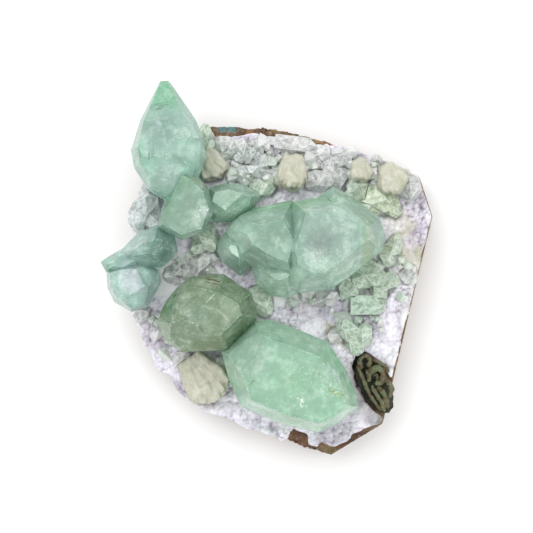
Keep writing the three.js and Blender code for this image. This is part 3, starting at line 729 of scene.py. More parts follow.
# For each finish: absorption colour and density, how clear, how rough, and how cloudy.
CRYSTAL_GLASS = {
    "apophyllite_spire": ((0.50, 0.86, 0.72), 30.0, 0.60, 0.12, 0.70),
    "apophyllite_shoulder": ((0.46, 0.82, 0.62), 30.0, 0.58, 0.10, 0.70),
    "apophyllite_west": ((0.50, 0.82, 0.74), 26.0, 0.60, 0.16, 0.80),
    "apophyllite_centre": ((0.48, 0.80, 0.62), 28.0, 0.54, 0.14, 0.75),
    "apophyllite_lower_left": ((0.50, 0.76, 0.48), 36.0, 0.56, 0.12, 0.65),
    "apophyllite_lower_right": ((0.42, 0.86, 0.56), 28.0, 0.56, 0.10, 0.65),
    "green_crystal": ((0.48, 0.78, 0.56), 34.0, 0.74, 0.05, 0.5),
    "clear_crystal": ((0.72, 0.90, 0.84), 12.0, 0.77, 0.04, 0.3),
}

# Colour patches of each finish: place, half sizes and turn, colour, strength, softness.
CRYSTAL_PATCHES = {
    "apophyllite_spire": [
        ((-29.6, 51.0, 9, 8, 0), srgb(86, 178, 130), 0.95, 0.7),
        ((-30.5, 40.0, 9, 9, 0), srgb(108, 150, 138), 0.9, 0.8),
        # Painted shade: a darker green strip along the spire's left edge.
        ((-38.5, 34.0, 3.5, 14, 8), srgb(142, 194, 164), 0.7, 0.8),
        ((-27.0, 24.5, 8, 6, 0), srgb(190, 214, 206), 0.8, 0.8),
        ((-22.0, 33.5, 5, 5, 20), srgb(204, 236, 220), 0.9, 0.8),
    ],
    "apophyllite_shoulder": [
        # Painted shade: a darker green strip along the shoulder's left edge.
        ((-27.6, 20.5, 2.6, 13, -28), srgb(120, 172, 142), 0.8, 0.8),
        ((-20.0, 25.0, 10, 3, -10), srgb(136, 180, 150), 0.6, 0.8),
        ((-21.5, 15.5, 5, 6, 0), srgb(178, 206, 188), 0.7, 0.9),
        ((-9.5, 20.0, 5, 4, 0), srgb(138, 182, 152), 0.7, 0.8),
        # A painted glint: a small white spot on the shoulder.
        ((-17.4, 15.8, 2.4, 2.0, -20), srgb(222, 240, 236), 0.8, 0.6),
    ],
    "apophyllite_west": [
        ((-39.6, -3.4, 3.6, 6.2, 18), srgb(204, 216, 222), 1.0, 0.25),
        ((-47.0, 0.6, 3.5, 3, 0), srgb(146, 208, 184), 0.9, 0.8),
        ((-40.0, -9.5, 5, 3, 0), srgb(160, 212, 192), 0.7, 0.8),
        ((-37.0, 5.8, 8, 2.2, 14), srgb(176, 200, 194), 0.7, 0.6),
        ((-31.0, 4.5, 7, 6, 0), srgb(100, 142, 124), 0.95, 0.7),
    ],
    "apophyllite_centre": [
        # Painted shade: a darker green band along the centre crystals' top edge.
        ((6.0, 18.5, 26, 3.0, 6), srgb(136, 188, 150), 0.85, 0.8),
        ((18.0, 8.5, 11, 10, 0), srgb(172, 196, 186), 0.8, 0.5),
        ((14.5, 6.0, 8, 5.5, 20), srgb(132, 148, 144), 0.7, 0.9),
        ((21.0, -1.0, 9, 4, -20), srgb(204, 228, 210), 0.85, 0.8),
        ((2.0, 9.5, 6, 8, -12), srgb(136, 174, 148), 0.6, 0.6),
        # Painted light: a lighter patch on the centre crystals' left face, where steep facets lie
        # in shade.
        ((-10.0, 8.0, 7, 9, -30), srgb(208, 236, 220), 0.95, 0.6),
        ((29.5, 5.5, 2.6, 10, 0), srgb(176, 196, 158), 0.8, 0.5),
        ((27.0, 6.0, 0.5, 9, 0), srgb(200, 222, 206), 0.7, 0.8),
        ((5.0, -4.6, 10, 6, 10), srgb(206, 232, 214), 0.9, 0.6),
    ],
    "apophyllite_lower_left": [
        ((-19.0, -22.0, 9, 3, 0), srgb(134, 160, 124), 0.7, 0.8),
        ((-29.5, -9.5, 5, 8, -20), srgb(100, 142, 100), 0.9, 0.8),
        ((-18.0, -5.0, 8, 2, 0), srgb(176, 194, 160), 0.7, 0.8),
        ((-10.0, -10.0, 4, 7, 0), srgb(174, 196, 166), 0.7, 0.6),
        ((-20.0, -13.0, 6, 5, 0), srgb(156, 182, 160), 0.7, 0.9),
    ],
    "apophyllite_lower_right": [
        ((-5.5, -24.0, 7, 11, 0), srgb(180, 204, 190), 0.85, 0.5),
        ((10.0, -20.5, 10, 3, -22), srgb(186, 222, 194), 0.8, 0.8),
        ((20.0, -27.0, 4.5, 8, 25), srgb(128, 192, 150), 0.8, 0.8),
        ((22.0, -35.5, 5, 4, 0), srgb(186, 226, 196), 0.8, 0.8),
        ((6.0, -44.0, 13, 2.6, -12), srgb(126, 172, 136), 0.8, 0.8),
        ((9.0, -33.0, 11, 8, 0), srgb(168, 212, 176), 0.6, 0.9),
    ],
    "green_crystal": [
        ((34.0, 15.0, 10, 16, 0), srgb(216, 226, 180), 0.95, 0.6),
        ((28.0, -13.0, 11, 8, 0), srgb(196, 228, 208), 0.9, 0.6),
    ],
    "clear_crystal": [
        ((-10.0, 31.0, 16, 8, -10), srgb(222, 240, 232), 0.9, 0.6),
        ((-38.0, 14.0, 8, 14, 0), srgb(220, 240, 236), 0.9, 0.6),
    ],
}

# Painted glints inside the large crystals, white specks broken by frost noise, which also make them
# less clear there: place, half sizes and turn, then how strong.
GLINT_SPOTS = {
    "apophyllite_spire": [((-29, 27, 7, 7, 0), 0.35), ((-25, 38, 3, 5, -30), 0.5)],
    "apophyllite_shoulder": [((-18, 16, 5, 5, 0), 0.7), ((-10, 17, 6, 4, 0), 0.4)],
    "apophyllite_west": [((-40, -4, 6, 7, 0), 0.6), ((-36, 7, 4, 3, 0), 0.3)],
    "apophyllite_centre": [
        ((15, 2, 9, 6, 0), 0.45), ((23, -1, 6, 4, 0), 0.8), ((3, -4, 9, 4, 0), 0.5),
        ((16, 12, 6, 4, 0), 0.2),
    ],
    "apophyllite_lower_left": [((-24, -15, 6, 6, 0), 0.3)],
    "apophyllite_lower_right": [
        ((9.5, -38.5, 5, 4, -30), 1.0), ((19, -34.5, 6, 4, 0), 0.9), ((12, -31, 8, 6, 0), 0.5),
    ],
}

# Dark streaks and stains: place, half sizes and turn, the streaks' turn, colour, strength.
STREAKS = {
    "apophyllite_spire": [
        ((-30.6, 46.8, 5.4, 1.6, 6), 4, srgb(70, 112, 104), 1.0),
        ((-33.2, 33.0, 1.6, 6.0, 0), 88, srgb(96, 140, 130), 0.8),
        ((-29.0, 31.0, 1.6, 5.0, -4), 84, srgb(214, 232, 224), 0.8),
    ],
    "apophyllite_lower_left": [
        ((-15.6, -4.4, 4.6, 1.2, -8), -8, srgb(104, 92, 48), 1.0),
        ((-6.0, -20.0, 1.4, 6.0, -40), 50, srgb(110, 98, 54), 0.9),
        ((-27.0, -8.0, 4.0, 4.0, 0), 40, srgb(120, 132, 96), 0.5),
    ],
    "apophyllite_lower_right": [
        ((20.0, -36.2, 4.0, 1.4, -25), -25, srgb(168, 182, 64), 0.9),
        ((-4.5, -33.0, 2.0, 1.4, 30), -30, srgb(108, 118, 84), 0.7),
    ],
    "apophyllite_centre": [((15.5, 8.0, 6.0, 5.0, 0), 60, srgb(146, 152, 156), 0.35)],
}


def lifted(colour):
    return tuple(min(0.96, level * LIFT) for level in colour)


def crystal_material(slot, tint):
    inner, density, clear, roughness, cloud = CRYSTAL_GLASS[slot]
    material, tree, shader = new_material(slot.replace("_", " "))
    space = object_space(tree)
    veil = noise_of(tree, space, VEIL, 7, 0.66, 0.15)
    mottle = noise_of(tree, space, MOTTLE, 6, 0.7, 0.1)
    sparkle = noise_of(tree, space, SPARKLE, 3, 0.6)
    frost = noise_of(tree, space, FROST, 5, 0.7, 0.4)
    tint = lifted(tint)
    colour = mix(tree, attribute(tree, "tone"), tuple(0.93 * c for c in tint), tint)
    for spot, patch_colour, strength, softness in CRYSTAL_PATCHES.get(slot, ()):
        share = product(
            tree, spot_of(tree, space, spot, softness), ramp(tree, veil, 0.3, 0.6, 0.75, 1.0),
            strength)
        colour = mix(tree, share, colour, lifted(patch_colour))
    pale = tuple(0.4 * c + 0.56 for c in tint)
    dusky = tuple(0.66 * c for c in tint)
    colour = mix(tree, ramp(tree, mottle, 0.5, 0.72, 0.0, 0.6 * cloud), colour, pale)
    colour = mix(tree, ramp(tree, mottle, 0.48, 0.28, 0.0, 0.6 * cloud), colour, dusky)
    colour = mix(tree, ramp(tree, veil, 0.52, 0.7, 0.0, 0.55 * cloud), colour, pale)
    large = slot.startswith("apophyllite")
    value, side = shards(tree, space, LARGE_SHARDS if large else SMALL_SHARDS)
    broken = product(tree, ramp(tree, veil, 0.42, 0.56), 0.22) if large else 0.30
    colour = mix(tree, product(tree, ramp(tree, value, 0.5, 0.9), broken), colour, pale)
    shade = tuple(c * s for c, s in zip(tint, (0.50, 0.68, 0.60)))
    colour = mix(tree, product(tree, ramp(tree, value, 0.4, 0.1), broken), colour, shade)
    colour = mix(tree, product(tree, side, broken, 0.6), colour, CELL_SIDE)
    rim = attribute(tree, "rim")
    # Along the ridges, broken by frost noise: painted shade in darker green on large crystals, and
    # a painted highlight near white on small ones.
    edge = tuple(c * s for c, s in zip(tint, (0.52, 0.76, 0.60))) if large else EDGE_HIGHLIGHT
    least, most = (0.15, 0.45) if large else (0.1, 0.8)
    share = product(tree, rim, ramp(tree, frost, 0.4, 0.56, least, most))
    colour = mix(tree, share, colour, edge)
    # Painted glints: broken white highlights right on the ridges.
    glint = product(tree, ramp(tree, rim, 0.72, 0.96), ramp(tree, frost, 0.5, 0.58), 0.7)
    colour = mix(tree, glint, colour, GLINT)
    for spot, turn, patch_colour, strength in STREAKS.get(slot, ()):
        lines = noise_of(tree, stretched(tree, space, turn, 0.0022, 0.00042), 1.0, 3, 0.6)
        share = product(
            tree, spot_of(tree, space, spot, 0.6), ramp(tree, lines, 0.5, 0.6), strength)
        colour = mix(tree, share, colour, patch_colour)
    # Painted glints: white specks from sparkle noise and from the glint spots, which also make the
    # crystal less clear.
    solid = ramp(tree, sparkle, 0.66, 0.74, 0.0, 0.30)
    for spot, strength in GLINT_SPOTS.get(slot, ()):
        share = product(
            tree, spot_of(tree, space, spot, 0.9), ramp(tree, frost, 0.54, 0.62), strength)
        solid = calc(tree, "MAXIMUM", solid, share)
    colour = mix(tree, solid, colour, srgb(240, 250, 242))
    if not large:
        icy = ramp(tree, mottle, 0.34, 0.64, 0.0, ICY)
        colour = mix(tree, icy, colour, tuple(0.6 * c + 0.38 for c in tint))
        solid = calc(tree, "MAXIMUM", icy, product(tree, rim, 0.5))
    opaque = calc(
        tree, "ADD", ramp(tree, veil, 0.4, 0.7, 0.0, 0.3 * cloud),
        product(tree, solid, 0.5 * clear if large else 0.85 * clear))
    opaque = calc(tree, "MINIMUM", opaque, clear)
    height = calc(tree, "ADD", product(tree, mottle, 0.6), veil)
    set_shader(tree, shader, {
        "Base Color": colour,
        "Transmission Weight": calc(tree, "SUBTRACT", clear, opaque),
        "Roughness": ramp(tree, mottle, 0.3, 0.75, roughness * 0.6, roughness * 1.6),
        "IOR": 1.535, "Normal": bump(tree, height, 0.08, 0.0003),
    })
    volume = add(tree, "ShaderNodeVolumeAbsorption", {"Color": inner, "Density": density})
    tree.links.new(volume.outputs["Volume"], tree.nodes["Material Output"].inputs["Volume"])
    return material


def follows(made, surface, reach):
    """Whether a mesh keeps near a surface and faces the same way all over."""
    made.normal_update()
    if max(surface.find_nearest(v.co)[3] for v in made.verts) > reach:
        return False
    for face in made.faces:
        normal = surface.find_nearest(face.calc_center_median())[1]
        if face.calc_area() > 1e-10 and normal.dot(face.normal) < 0.1:
            return False
    return True


def wear_edges(source, width):
    """Rounds the edges of a crystal's broader faces, as far as its thinnest ones allow."""
    source.normal_update()
    surface = BVHTree.FromBMesh(source)
    for offset in (width * share for share in WEAR_SHARES):
        made = source.copy()
        thin = {f for f in made.faces if f.calc_area() < 2.5 * offset * f.calc_perimeter()}
        short = {e for e in made.edges if e.calc_length() < 4 * offset}
        sharp = [
            e for e in made.edges
            if e.is_manifold and e.calc_face_angle(0) > math.radians(WORN_TURN)
            and thin.isdisjoint(e.link_faces)
            and all(short.isdisjoint(v.link_edges) for v in e.verts)
        ]
        bmesh.ops.bevel(
            made, geom=sharp, offset=offset, offset_type="OFFSET", segments=1,
            profile=0.5, affect="EDGES", clamp_overlap=True, material=-1)
        if follows(made, surface, offset):
            source.free()
            return made
        made.free()
    return source


def refined(made, reach):
    """Halves long edges, at most one of each triangle at a time, down to this length."""
    bmesh.ops.dissolve_degenerate(made, dist=1e-6, edges=made.edges)
    bmesh.ops.triangulate(made, faces=made.faces)
    for _ in range(REFINE_ROUNDS):
        long = [e for e in made.edges if e.calc_length() > reach]
        long.sort(key=lambda e: -e.calc_length())
        taken = set()
        chosen = []
        for edge in long:
            if taken.isdisjoint(edge.link_faces):
                taken.update(edge.link_faces)
                chosen.append(edge)
        if not chosen:
            return
        bmesh.ops.subdivide_edges(made, edges=chosen, cuts=1, use_single_edge=True)


def dress_faces(made, rim_width, step_height=0.0):
    """Marks the rims along the ridges, gives each face a tone and raises growth steps on it."""
    rim = made.verts.layers.float.new("rim")
    tone = made.faces.layers.float.new("tone")
    made.normal_update()
    for face in made.faces:
        face[tone] = scatter(*(round(k * 9) for k in face.normal))
    ridges = [
        v for v in made.verts if any(e.calc_face_angle(0) > RIDGE for e in v.link_edges)]
    near = KDTree(len(ridges))
    for order, vertex in enumerate(ridges):
        near.insert(vertex.co, order)
    near.balance()
    for vertex in made.verts:
        inward = min(1.0, near.find(vertex.co)[2] / rim_width)
        vertex[rim] = 1 - inward
        if step_height:
            level = noise.noise(vertex.co * STEP_SCALE) * STEP_LEVELS
            level += noise.noise(vertex.co * STEP_RAGGED)
            step = math.floor(level) + min(1.0, STEP_SLOPE * (level - math.floor(level)))
            vertex.co += vertex.normal * inward * step_height * (step * 0.5 - 1)


def build_crystal(name, slot, material, sizes):
    large = slot.startswith("apophyllite")
    share = 1.0 if large else SMALL_SHARE
    made = wear_edges(cad_mesh(name), sizes.crystal_edge * share)
    refined(made, sizes.crystal_cell * (1.0 if large else SMALL_CELL))
    dress_faces(made, sizes.rim_width * share, sizes.step_height * share)
    finish_piece(made, name + "_faces", material, [name], smooth_below=FACET)


def tint_of(slot, colours):
    if slot.startswith("apophyllite"):
        return tuple(getattr(colours, slot.removeprefix("apophyllite_")))
    return tuple(colours.small_green if slot == "green_crystal" else colours.small_clear)


def material_for(slot, colours):
    """The crystal material of a slot, made once."""
    found = bpy.data.materials.get(slot.replace("_", " "))
    return found or crystal_material(slot, tint_of(slot, colours))


# Strewn tiny crystals

# A crystal's corners, cap and point as shares of its width, and its root as a share of its length.
TINY_CORNER = 0.7
TINY_CAP = 0.16
TINY_POINT = 0.62
TINY_ROOT = 0.4

# How far they keep from a saw cut, how far they lean at random, and their rims as a share of a
# large crystal's.
OFF_SAW = 0.0016
TINY_LEAN = 1.7
TINY_RIM = 0.2

# Where they grow: place, half sizes and turn, how many are tried, and one in how many is green.
STREWN = {
    "tiny_crystals_upper_rim": ((2, 34, 19, 3.4, -8), 150, 5),
    "tiny_crystals_upper_middle": ((-1.5, 28, 10, 4.5, 0), 70, 4),
    "tiny_crystals_upper_right": ((30, 27.5, 13, 6.5, -20), 100, 3),
    "tiny_crystals_right": ((39, -2, 5, 9, 10), 34, 3),
    "tiny_crystals_middle_right": ((27, -15.5, 8, 8, 0), 26, 3),
    "tiny_crystals_left_rim": ((-37, 17, 4, 7, 0), 16, 4),
    "tiny_crystals_left": ((-22, -1, 8, 5, 0), 50, 3),
    "tiny_crystals_below_centre": ((14, -9.5, 8, 2.4, 5), 18, 3),
    "tiny_crystals_lower_left": ((-31, -19, 5, 9, 20), 14, 4),
}


def add_crystal(made, base, axis, roll, length, width):
    """A small square prism with a cut pyramid on top, standing at its base along its axis."""
    cone = bmesh.ops.create_cone(
        made, cap_ends=True, segments=4, radius1=width * TINY_CORNER, radius2=width * TINY_CAP,
        depth=width * TINY_POINT,
        matrix=Matrix.Translation((0, 0, length - width * TINY_POINT / 2)))
    verts = cone["verts"]
    bottom = min((f for v in verts for f in v.link_faces), key=lambda f: f.calc_center_median().z)
    out = bmesh.ops.extrude_discrete_faces(made, faces=[bottom])
    low = out["faces"][0]
    for vertex in low.verts:
        vertex.co.z = -length * TINY_ROOT
    every = [*verts, *low.verts]
    turn = axis.to_track_quat("Z", "Y").to_matrix().to_4x4() @ Matrix.Rotation(roll, 4, "Z")
    bmesh.ops.transform(made, matrix=Matrix.Translation(base) @ turn, verts=every)


def build_strewn(sizes, colours):
    ground = tree_of(["chalcedony_knobs"])
    large = [p["node"] for p in frame["record"]["subparts"] if "apophyllite_" in p["node"]]
    above = tree_of(large)
    down = Vector((0, 0, -1))
    for order, (name, (spot, count, green_every)) in enumerate(STREWN.items()):
        groups = {"clear_crystal": bmesh.new(), "green_crystal": bmesh.new()}
        cx, cy, long, short, turn = spot
        for i in range(count):
            seed = (i + 1.0, order + 3.0)
            far = math.sqrt(scatter(*seed, 1.0))
            way = 2 * math.pi * scatter(*seed, 2.0)
            u, v = long * far * math.cos(way), short * far * math.sin(way)
            c, s = math.cos(math.radians(turn)), math.sin(math.radians(turn))
            x, y = over(cx + u * c - v * s, cy + u * s + v * c)
            start = Vector((x, y, 0.1))
            place, normal, _, _ = ground.ray_cast(start, down)
            beside_saw = min(off_stretch(x, y, ends) for ends in SAWN_SIDES) < OFF_SAW
            if place is None or normal.z < 0.3 or beside_saw or above.ray_cast(start, down)[0]:
                continue
            lean = Vector([scatter(*seed, k) - 0.5 for k in (3.0, 4.0, 5.0)]) * TINY_LEAN
            axis = (normal + lean + Vector((0, 0, 0.4))).normalized()
            length = sizes.tiny_length * (0.55 + 0.9 * scatter(*seed, 6.0) ** 2)
            width = length * (0.5 + 0.45 * scatter(*seed, 7.0))
            slot = "green_crystal" if i % green_every == 0 else "clear_crystal"
            add_crystal(groups[slot], place, axis, 6.0 * scatter(*seed, 8.0), length, width)
        for slot, made in groups.items():
            if not made.faces:
                made.free()
                continue
            bmesh.ops.remove_doubles(made, verts=made.verts, dist=1e-7)
            bmesh.ops.recalc_face_normals(made, faces=made.faces)
            dress_faces(made, sizes.rim_width * TINY_RIM)
            finish_piece(made, name + "_" + slot.split("_")[0], material_for(slot, colours))


# Stilbite

# Each sheaf: place, heading, length and width of a blade, fan, rise, how many blades.
SHEAVES = {
    "stilbite_sheaf_upper_left": ((-18.6, 34.4), -62, 10.4, 1.5, 34, 14, 90),
    "stilbite_sheaf_upper": ((8.2, 33.4), -96, 12.4, 1.5, 26, 18, 100),
    "stilbite_sheaf_upper_right": ((27.6, 32.2), -78, 8.2, 1.3, 34, 18, 80),
    "stilbite_sheaf_right": ((35.4, 30.4), -66, 10.6, 1.5, 36, 16, 90),
    "stilbite_sheaf_lower_left": ((-23.4, -27.4), -53, 17.0, 2.0, 30, 11, 150),
}

# A sheaf's mesh cell, how often it is smoothed, and its width as a share of its length.
SHEAF_CELL = 0.0003
SHEAF_PASSES = 4
SHEAF_WIDTH = 0.42

# How far its fibres and its lumps stand out.
FIBRE_HEIGHT = 0.00012
SHEAF_LUMP = 0.0006


def add_blade(made, base, heading, rise, tilt, length, width, thickness):
    """A thin tapered plate with a blunt point."""
    verts = bmesh.ops.create_cube(made, size=1.0)["verts"]
    end = max((f for v in verts for f in v.link_faces), key=lambda f: f.calc_center_median().x)
    for vertex in verts:
        vertex.co.x += 0.5
        vertex.co.y *= 1.0 if vertex.co.x > 0.5 else 0.55
    tip = bmesh.ops.extrude_discrete_faces(made, faces=[end])["faces"][0]
    for vertex in tip.verts:
        vertex.co.x += 0.08
        vertex.co.y *= 0.55
        vertex.co.z *= 0.6
    every = [*verts, *tip.verts]
    for vertex in every:
        vertex.co = (vertex.co.x * length * 0.86, vertex.co.y * width, vertex.co.z * thickness)
    turn = (
        Matrix.Rotation(math.radians(heading), 4, "Z")
        @ Matrix.Rotation(math.radians(-rise), 4, "Y")
        @ Matrix.Rotation(math.radians(tilt), 4, "X"))
    bmesh.ops.transform(made, matrix=Matrix.Translation(base) @ turn, verts=every)


def build_sheaf(name, row, material):
    (x, y), heading, length, width, fan, rise, count = row
    low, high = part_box(name)
    made = bmesh.new()
    root = Vector((*over(x, y), 0))
    across = math.radians(heading + 90)
    for i in range(count):
        share = (i + 0.5 + 0.8 * (scatter(i, count) - 0.5)) / count - 0.5
        level = scatter(i, length)
        slide = share * length * SHEAF_WIDTH * MM
        base = root + Vector((math.cos(across) * slide, math.sin(across) * slide, 0))
        base.z = low[2] + (0.3 + 0.35 * level) * (high[2] - low[2])
        reach = length * (0.80 + 0.20 * scatter(i, 4.0)) * (1 - 0.8 * share * share)
        add_blade(
            made, base, heading + fan * share, rise * (0.4 + 1.1 * level),
            26 * share + 20 * (scatter(i, 9.0) - 0.5), reach * MM,
            width * (0.6 + 0.6 * scatter(i, 2.0)) * MM, (0.9 + 0.5 * scatter(i, 3.0)) * MM)
    bmesh.ops.recalc_face_normals(made, faces=made.faces)
    made = remeshed(made, "sheaf cells", SHEAF_CELL)
    for _ in range(SHEAF_PASSES):
        bmesh.ops.smooth_vert(
            made, verts=made.verts, factor=0.5, use_axis_x=True, use_axis_y=True, use_axis_z=True)
    made.normal_update()
    layer = made.verts.layers.float_vector.new("fibre")
    hub = SHEAF_WIDTH * length * MM / math.radians(fan)
    along = Vector((math.cos(math.radians(heading)), math.sin(math.radians(heading))))
    for vertex in made.verts:
        away = (vertex.co - root).xy + along * hub
        angle = along.angle_signed(away, 0.0)
        place = Vector((away.length, angle * (hub + length * MM / 2), vertex.co.z))
        vertex[layer] = place
        ribs = noise.noise(Vector((place.x * 130, place.y * 1700, place.z * 900)))
        lumps = noise.noise(vertex.co * 420)
        vertex.co += vertex.normal * (ribs * FIBRE_HEIGHT + lumps * SHEAF_LUMP)
    finish_piece(made, name + "_blades", material, [name], smooth_below=180)


def stilbite_material(colours):
    material, tree, shader = new_material("silky stilbite")
    fibre = add(tree, "ShaderNodeAttribute", attribute_name="fibre").outputs["Vector"]
    lengthwise = add(tree, "ShaderNodeMapping", {"Vector": fibre, "Scale": (160, 1900, 500)})
    streak = noise_of(tree, lengthwise.outputs[0], 1.0, 4, 0.6)
    space = object_space(tree)
    broad = noise_of(tree, space, 230, 5, 0.65, 1.2)
    grain = noise_of(tree, space, 2600, 4, 0.6)
    colour = mix(
        tree, ramp(tree, streak, 0.35, 0.65, 0.0, 0.6), tuple(colours.stilbite),
        srgb(186, 184, 160))
    colour = mix(tree, ramp(tree, broad, 0.5, 0.7, 0.0, 0.6), colour, srgb(224, 222, 212))
    colour = mix(tree, ramp(tree, broad, 0.44, 0.3, 0.0, 0.75), colour, srgb(162, 174, 148))
    colour = mix(tree, ramp(tree, grain, 0.6, 0.7, 0.0, 0.5), colour, srgb(250, 250, 246))
    height = calc(tree, "ADD", streak, product(tree, grain, 0.4))
    set_shader(tree, shader, {
        "Base Color": colour, "Roughness": ramp(tree, streak, 0.3, 0.7, 0.25, 0.5),
        "Normal": bump(tree, height, 0.35, 0.0003), "Transmission Weight": 0.2, "IOR": 1.5,
    })
    return material


# Celadonite

# Worms over the hollow's bed: thickness, then the places and heights that each runs through.
WORMS = [
    (1.3, [(28.9, -31.0, 1.6), (28.2, -28.6, 2.4), (29.7, -27.0, 2.9), (31.2, -28.2, 2.6),
           (31.0, -30.4, 1.9)]),
    (1.5, [(31.0, -34.0, 1.4), (31.6, -31.8, 2.4), (33.0, -30.8, 3.0), (34.7, -31.4, 3.1),
           (35.4, -33.2, 2.7), (34.6, -35.0, 2.2), (33.0, -35.5, 1.7)]),
    (1.1, [(31.9, -36.0, 1.8), (33.4, -38.6, 2.6), (34.6, -41.0, 2.6), (35.6, -44.0, 1.8)]),
    (1.2, [(33.6, -36.2, 1.6), (35.2, -38.0, 2.8), (36.2, -40.2, 2.8), (36.5, -42.8, 1.8)]),
    (1.0, [(30.2, -36.0, 1.6), (31.0, -38.0, 2.2), (32.6, -40.8, 2.2), (34.4, -43.4, 1.6)]),
    (1.2, [(35.8, -33.6, 1.8), (37.2, -35.2, 2.8), (37.6, -37.4, 2.8), (36.9, -39.6, 2.0)]),
    (1.0, [(29.9, -31.4, 1.6), (31.3, -33.0, 2.2), (30.9, -35.0, 1.8)]),
    (0.9, [(27.4, -29.6, 1.6), (28.3, -32.2, 2.2), (29.6, -35.2, 2.0), (30.6, -38.0, 1.4)]),
    (1.1, [(32.0, -27.8, 1.8), (34.0, -28.8, 2.8), (35.9, -30.6, 2.8), (36.9, -32.8, 2.0)]),
    (0.8, [(32.2, -33.0, 1.0), (33.4, -32.6, 1.6), (34.0, -33.6, 1.4), (33.2, -34.2, 1.0)]),
]

# Those heights are counted from this far over the foot of the hollow's solid.
WORM_FLOOR = 0.0014

# A worm's sides, its radius as a share of its thickness, that of its last two rings as a share of
# the rest, and how far its places wander.
WORM_SIDES = 10
WORM_RADIUS = 0.62
WORM_ENDS = (0.45, 0.85)
WORM_WANDER = 0.0005

# The bed's mesh cell, how far it is sunk, and how deep its pits are.
BED_CELL = 0.0003
BED_SINK = 0.0003
BED_PIT = 0.0004


def add_worm(made, row, floor):
    """A tube with rounded ends along a smooth curve through places and heights."""
    thickness, places = row
    knots = [Vector((*over(x, y), floor + z * MM)) for x, y, z in places]
    knots = [knot + drift(knot * 900) * WORM_WANDER for knot in knots]
    curve = []
    wide = [knots[0], *knots, knots[-1]]
    for a, b, c, d in zip(wide, wide[1:], wide[2:], wide[3:]):
        for t in (0.0, 0.2, 0.4, 0.6, 0.8):
            curve.append(0.5 * (
                2 * b + (c - a) * t + (2 * a - 5 * b + 4 * c - d) * t ** 2
                + (3 * b - a - 3 * c + d) * t ** 3))
    curve.append(knots[-1])
    rings = []
    for order, here in enumerate(curve):
        ahead = curve[min(order + 1, len(curve) - 1)] - curve[max(order - 1, 0)]
        end = min(order, len(curve) - 1 - order)
        swell = 1 + 0.45 * noise.noise(here * 700)
        taper = WORM_ENDS[end] if end < len(WORM_ENDS) else 1.0
        radius = thickness * MM * WORM_RADIUS * swell * taper
        turn = ahead.to_track_quat("Z", "Y").to_matrix().to_4x4()
        ring = bmesh.ops.create_circle(
            made, segments=WORM_SIDES, radius=radius,
            matrix=Matrix.Translation(here) @ turn)["verts"]
        rings.append(list(dict.fromkeys(e for v in ring for e in v.link_edges)))
    for first, second in zip(rings, rings[1:]):
        bmesh.ops.bridge_loops(made, edges=first + second)


def build_celadonite(colours):
    low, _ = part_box("celadonite_worms")
    made = remeshed(cad_mesh("celadonite_worms"), "bed cells", BED_CELL)
    made.normal_update()
    bed = made.verts.layers.float.new("bed")
    for vertex in made.verts:
        vertex[bed] = 1.0
        lump = noise.fractal(vertex.co * 700, 0.8, 2.0, 4)
        vertex.co -= vertex.normal * (abs(lump) * BED_PIT + BED_SINK)
        vertex.co.z = max(vertex.co.z, low[2])
    worms = bmesh.new()
    for row in WORMS:
        add_worm(worms, row, low[2] + WORM_FLOOR)
    bmesh.ops.holes_fill(worms, edges=[e for e in worms.edges if e.is_boundary], sides=0)
    bmesh.ops.recalc_face_normals(worms, faces=worms.faces)
    bmesh.ops.subdivide_edges(worms, edges=worms.edges, cuts=1, use_grid_fill=True)
    worms.normal_update()
    for vertex in worms.verts:
        lump = noise.noise(vertex.co * 900) * 0.00026 + noise.noise(vertex.co * 2600) * 0.00010
        vertex.co += vertex.normal * lump
    mesh = bpy.data.meshes.new("worm tubes")
    worms.to_mesh(mesh)
    worms.free()
    made.from_mesh(mesh)
    bpy.data.meshes.remove(mesh)
    finish_piece(
        made, "celadonite_tangle", celadonite_material(colours),
        ["celadonite_worms"], smooth_below=60)


def celadonite_material(colours):
    material, tree, shader = new_material("earthy celadonite")
    space = object_space(tree)
    patch = noise_of(tree, space, 330, 4, 0.6)
    grain = noise_of(tree, space, 2600, 5, 0.65)
    colour = mix(tree, ramp(tree, patch, 0.45, 0.62), tuple(colours.celadonite), srgb(84, 66, 44))
    colour = mix(tree, ramp(tree, grain, 0.5, 0.75, 0.0, 0.8), colour, srgb(166, 170, 130))
    colour = mix(tree, ramp(tree, grain, 0.42, 0.25, 0.0, 0.8), colour, srgb(24, 28, 20))
    # Painted shade: the hollow's bed, under and between the worms, turns near black.
    bed_shade = product(tree, attribute(tree, "bed"), ramp(tree, patch, 0.35, 0.65, 0.95, 0.6))
    colour = mix(tree, bed_shade, colour, srgb(20, 22, 16))
    set_shader(tree, shader, {
        "Base Color": colour, "Roughness": ramp(tree, grain, 0.3, 0.7, 0.3, 0.7),
        "Normal": bump(tree, grain, 0.6, 0.0004), "IOR": 1.5,
    })
    return material


# The stage

# Each light: place, size and power.
LIGHTS = {
    "key light": ((-0.35, 0.45, 0.70), 0.8, 5.0),
    "fill light": ((0.60, -0.10, 0.60), 0.8, 1.8),
    "low light": ((0.05, -0.70, 0.40), 0.6, 1.2),
}

# Strength of the light that comes from all round.
ROOM_LIGHT = 0.85


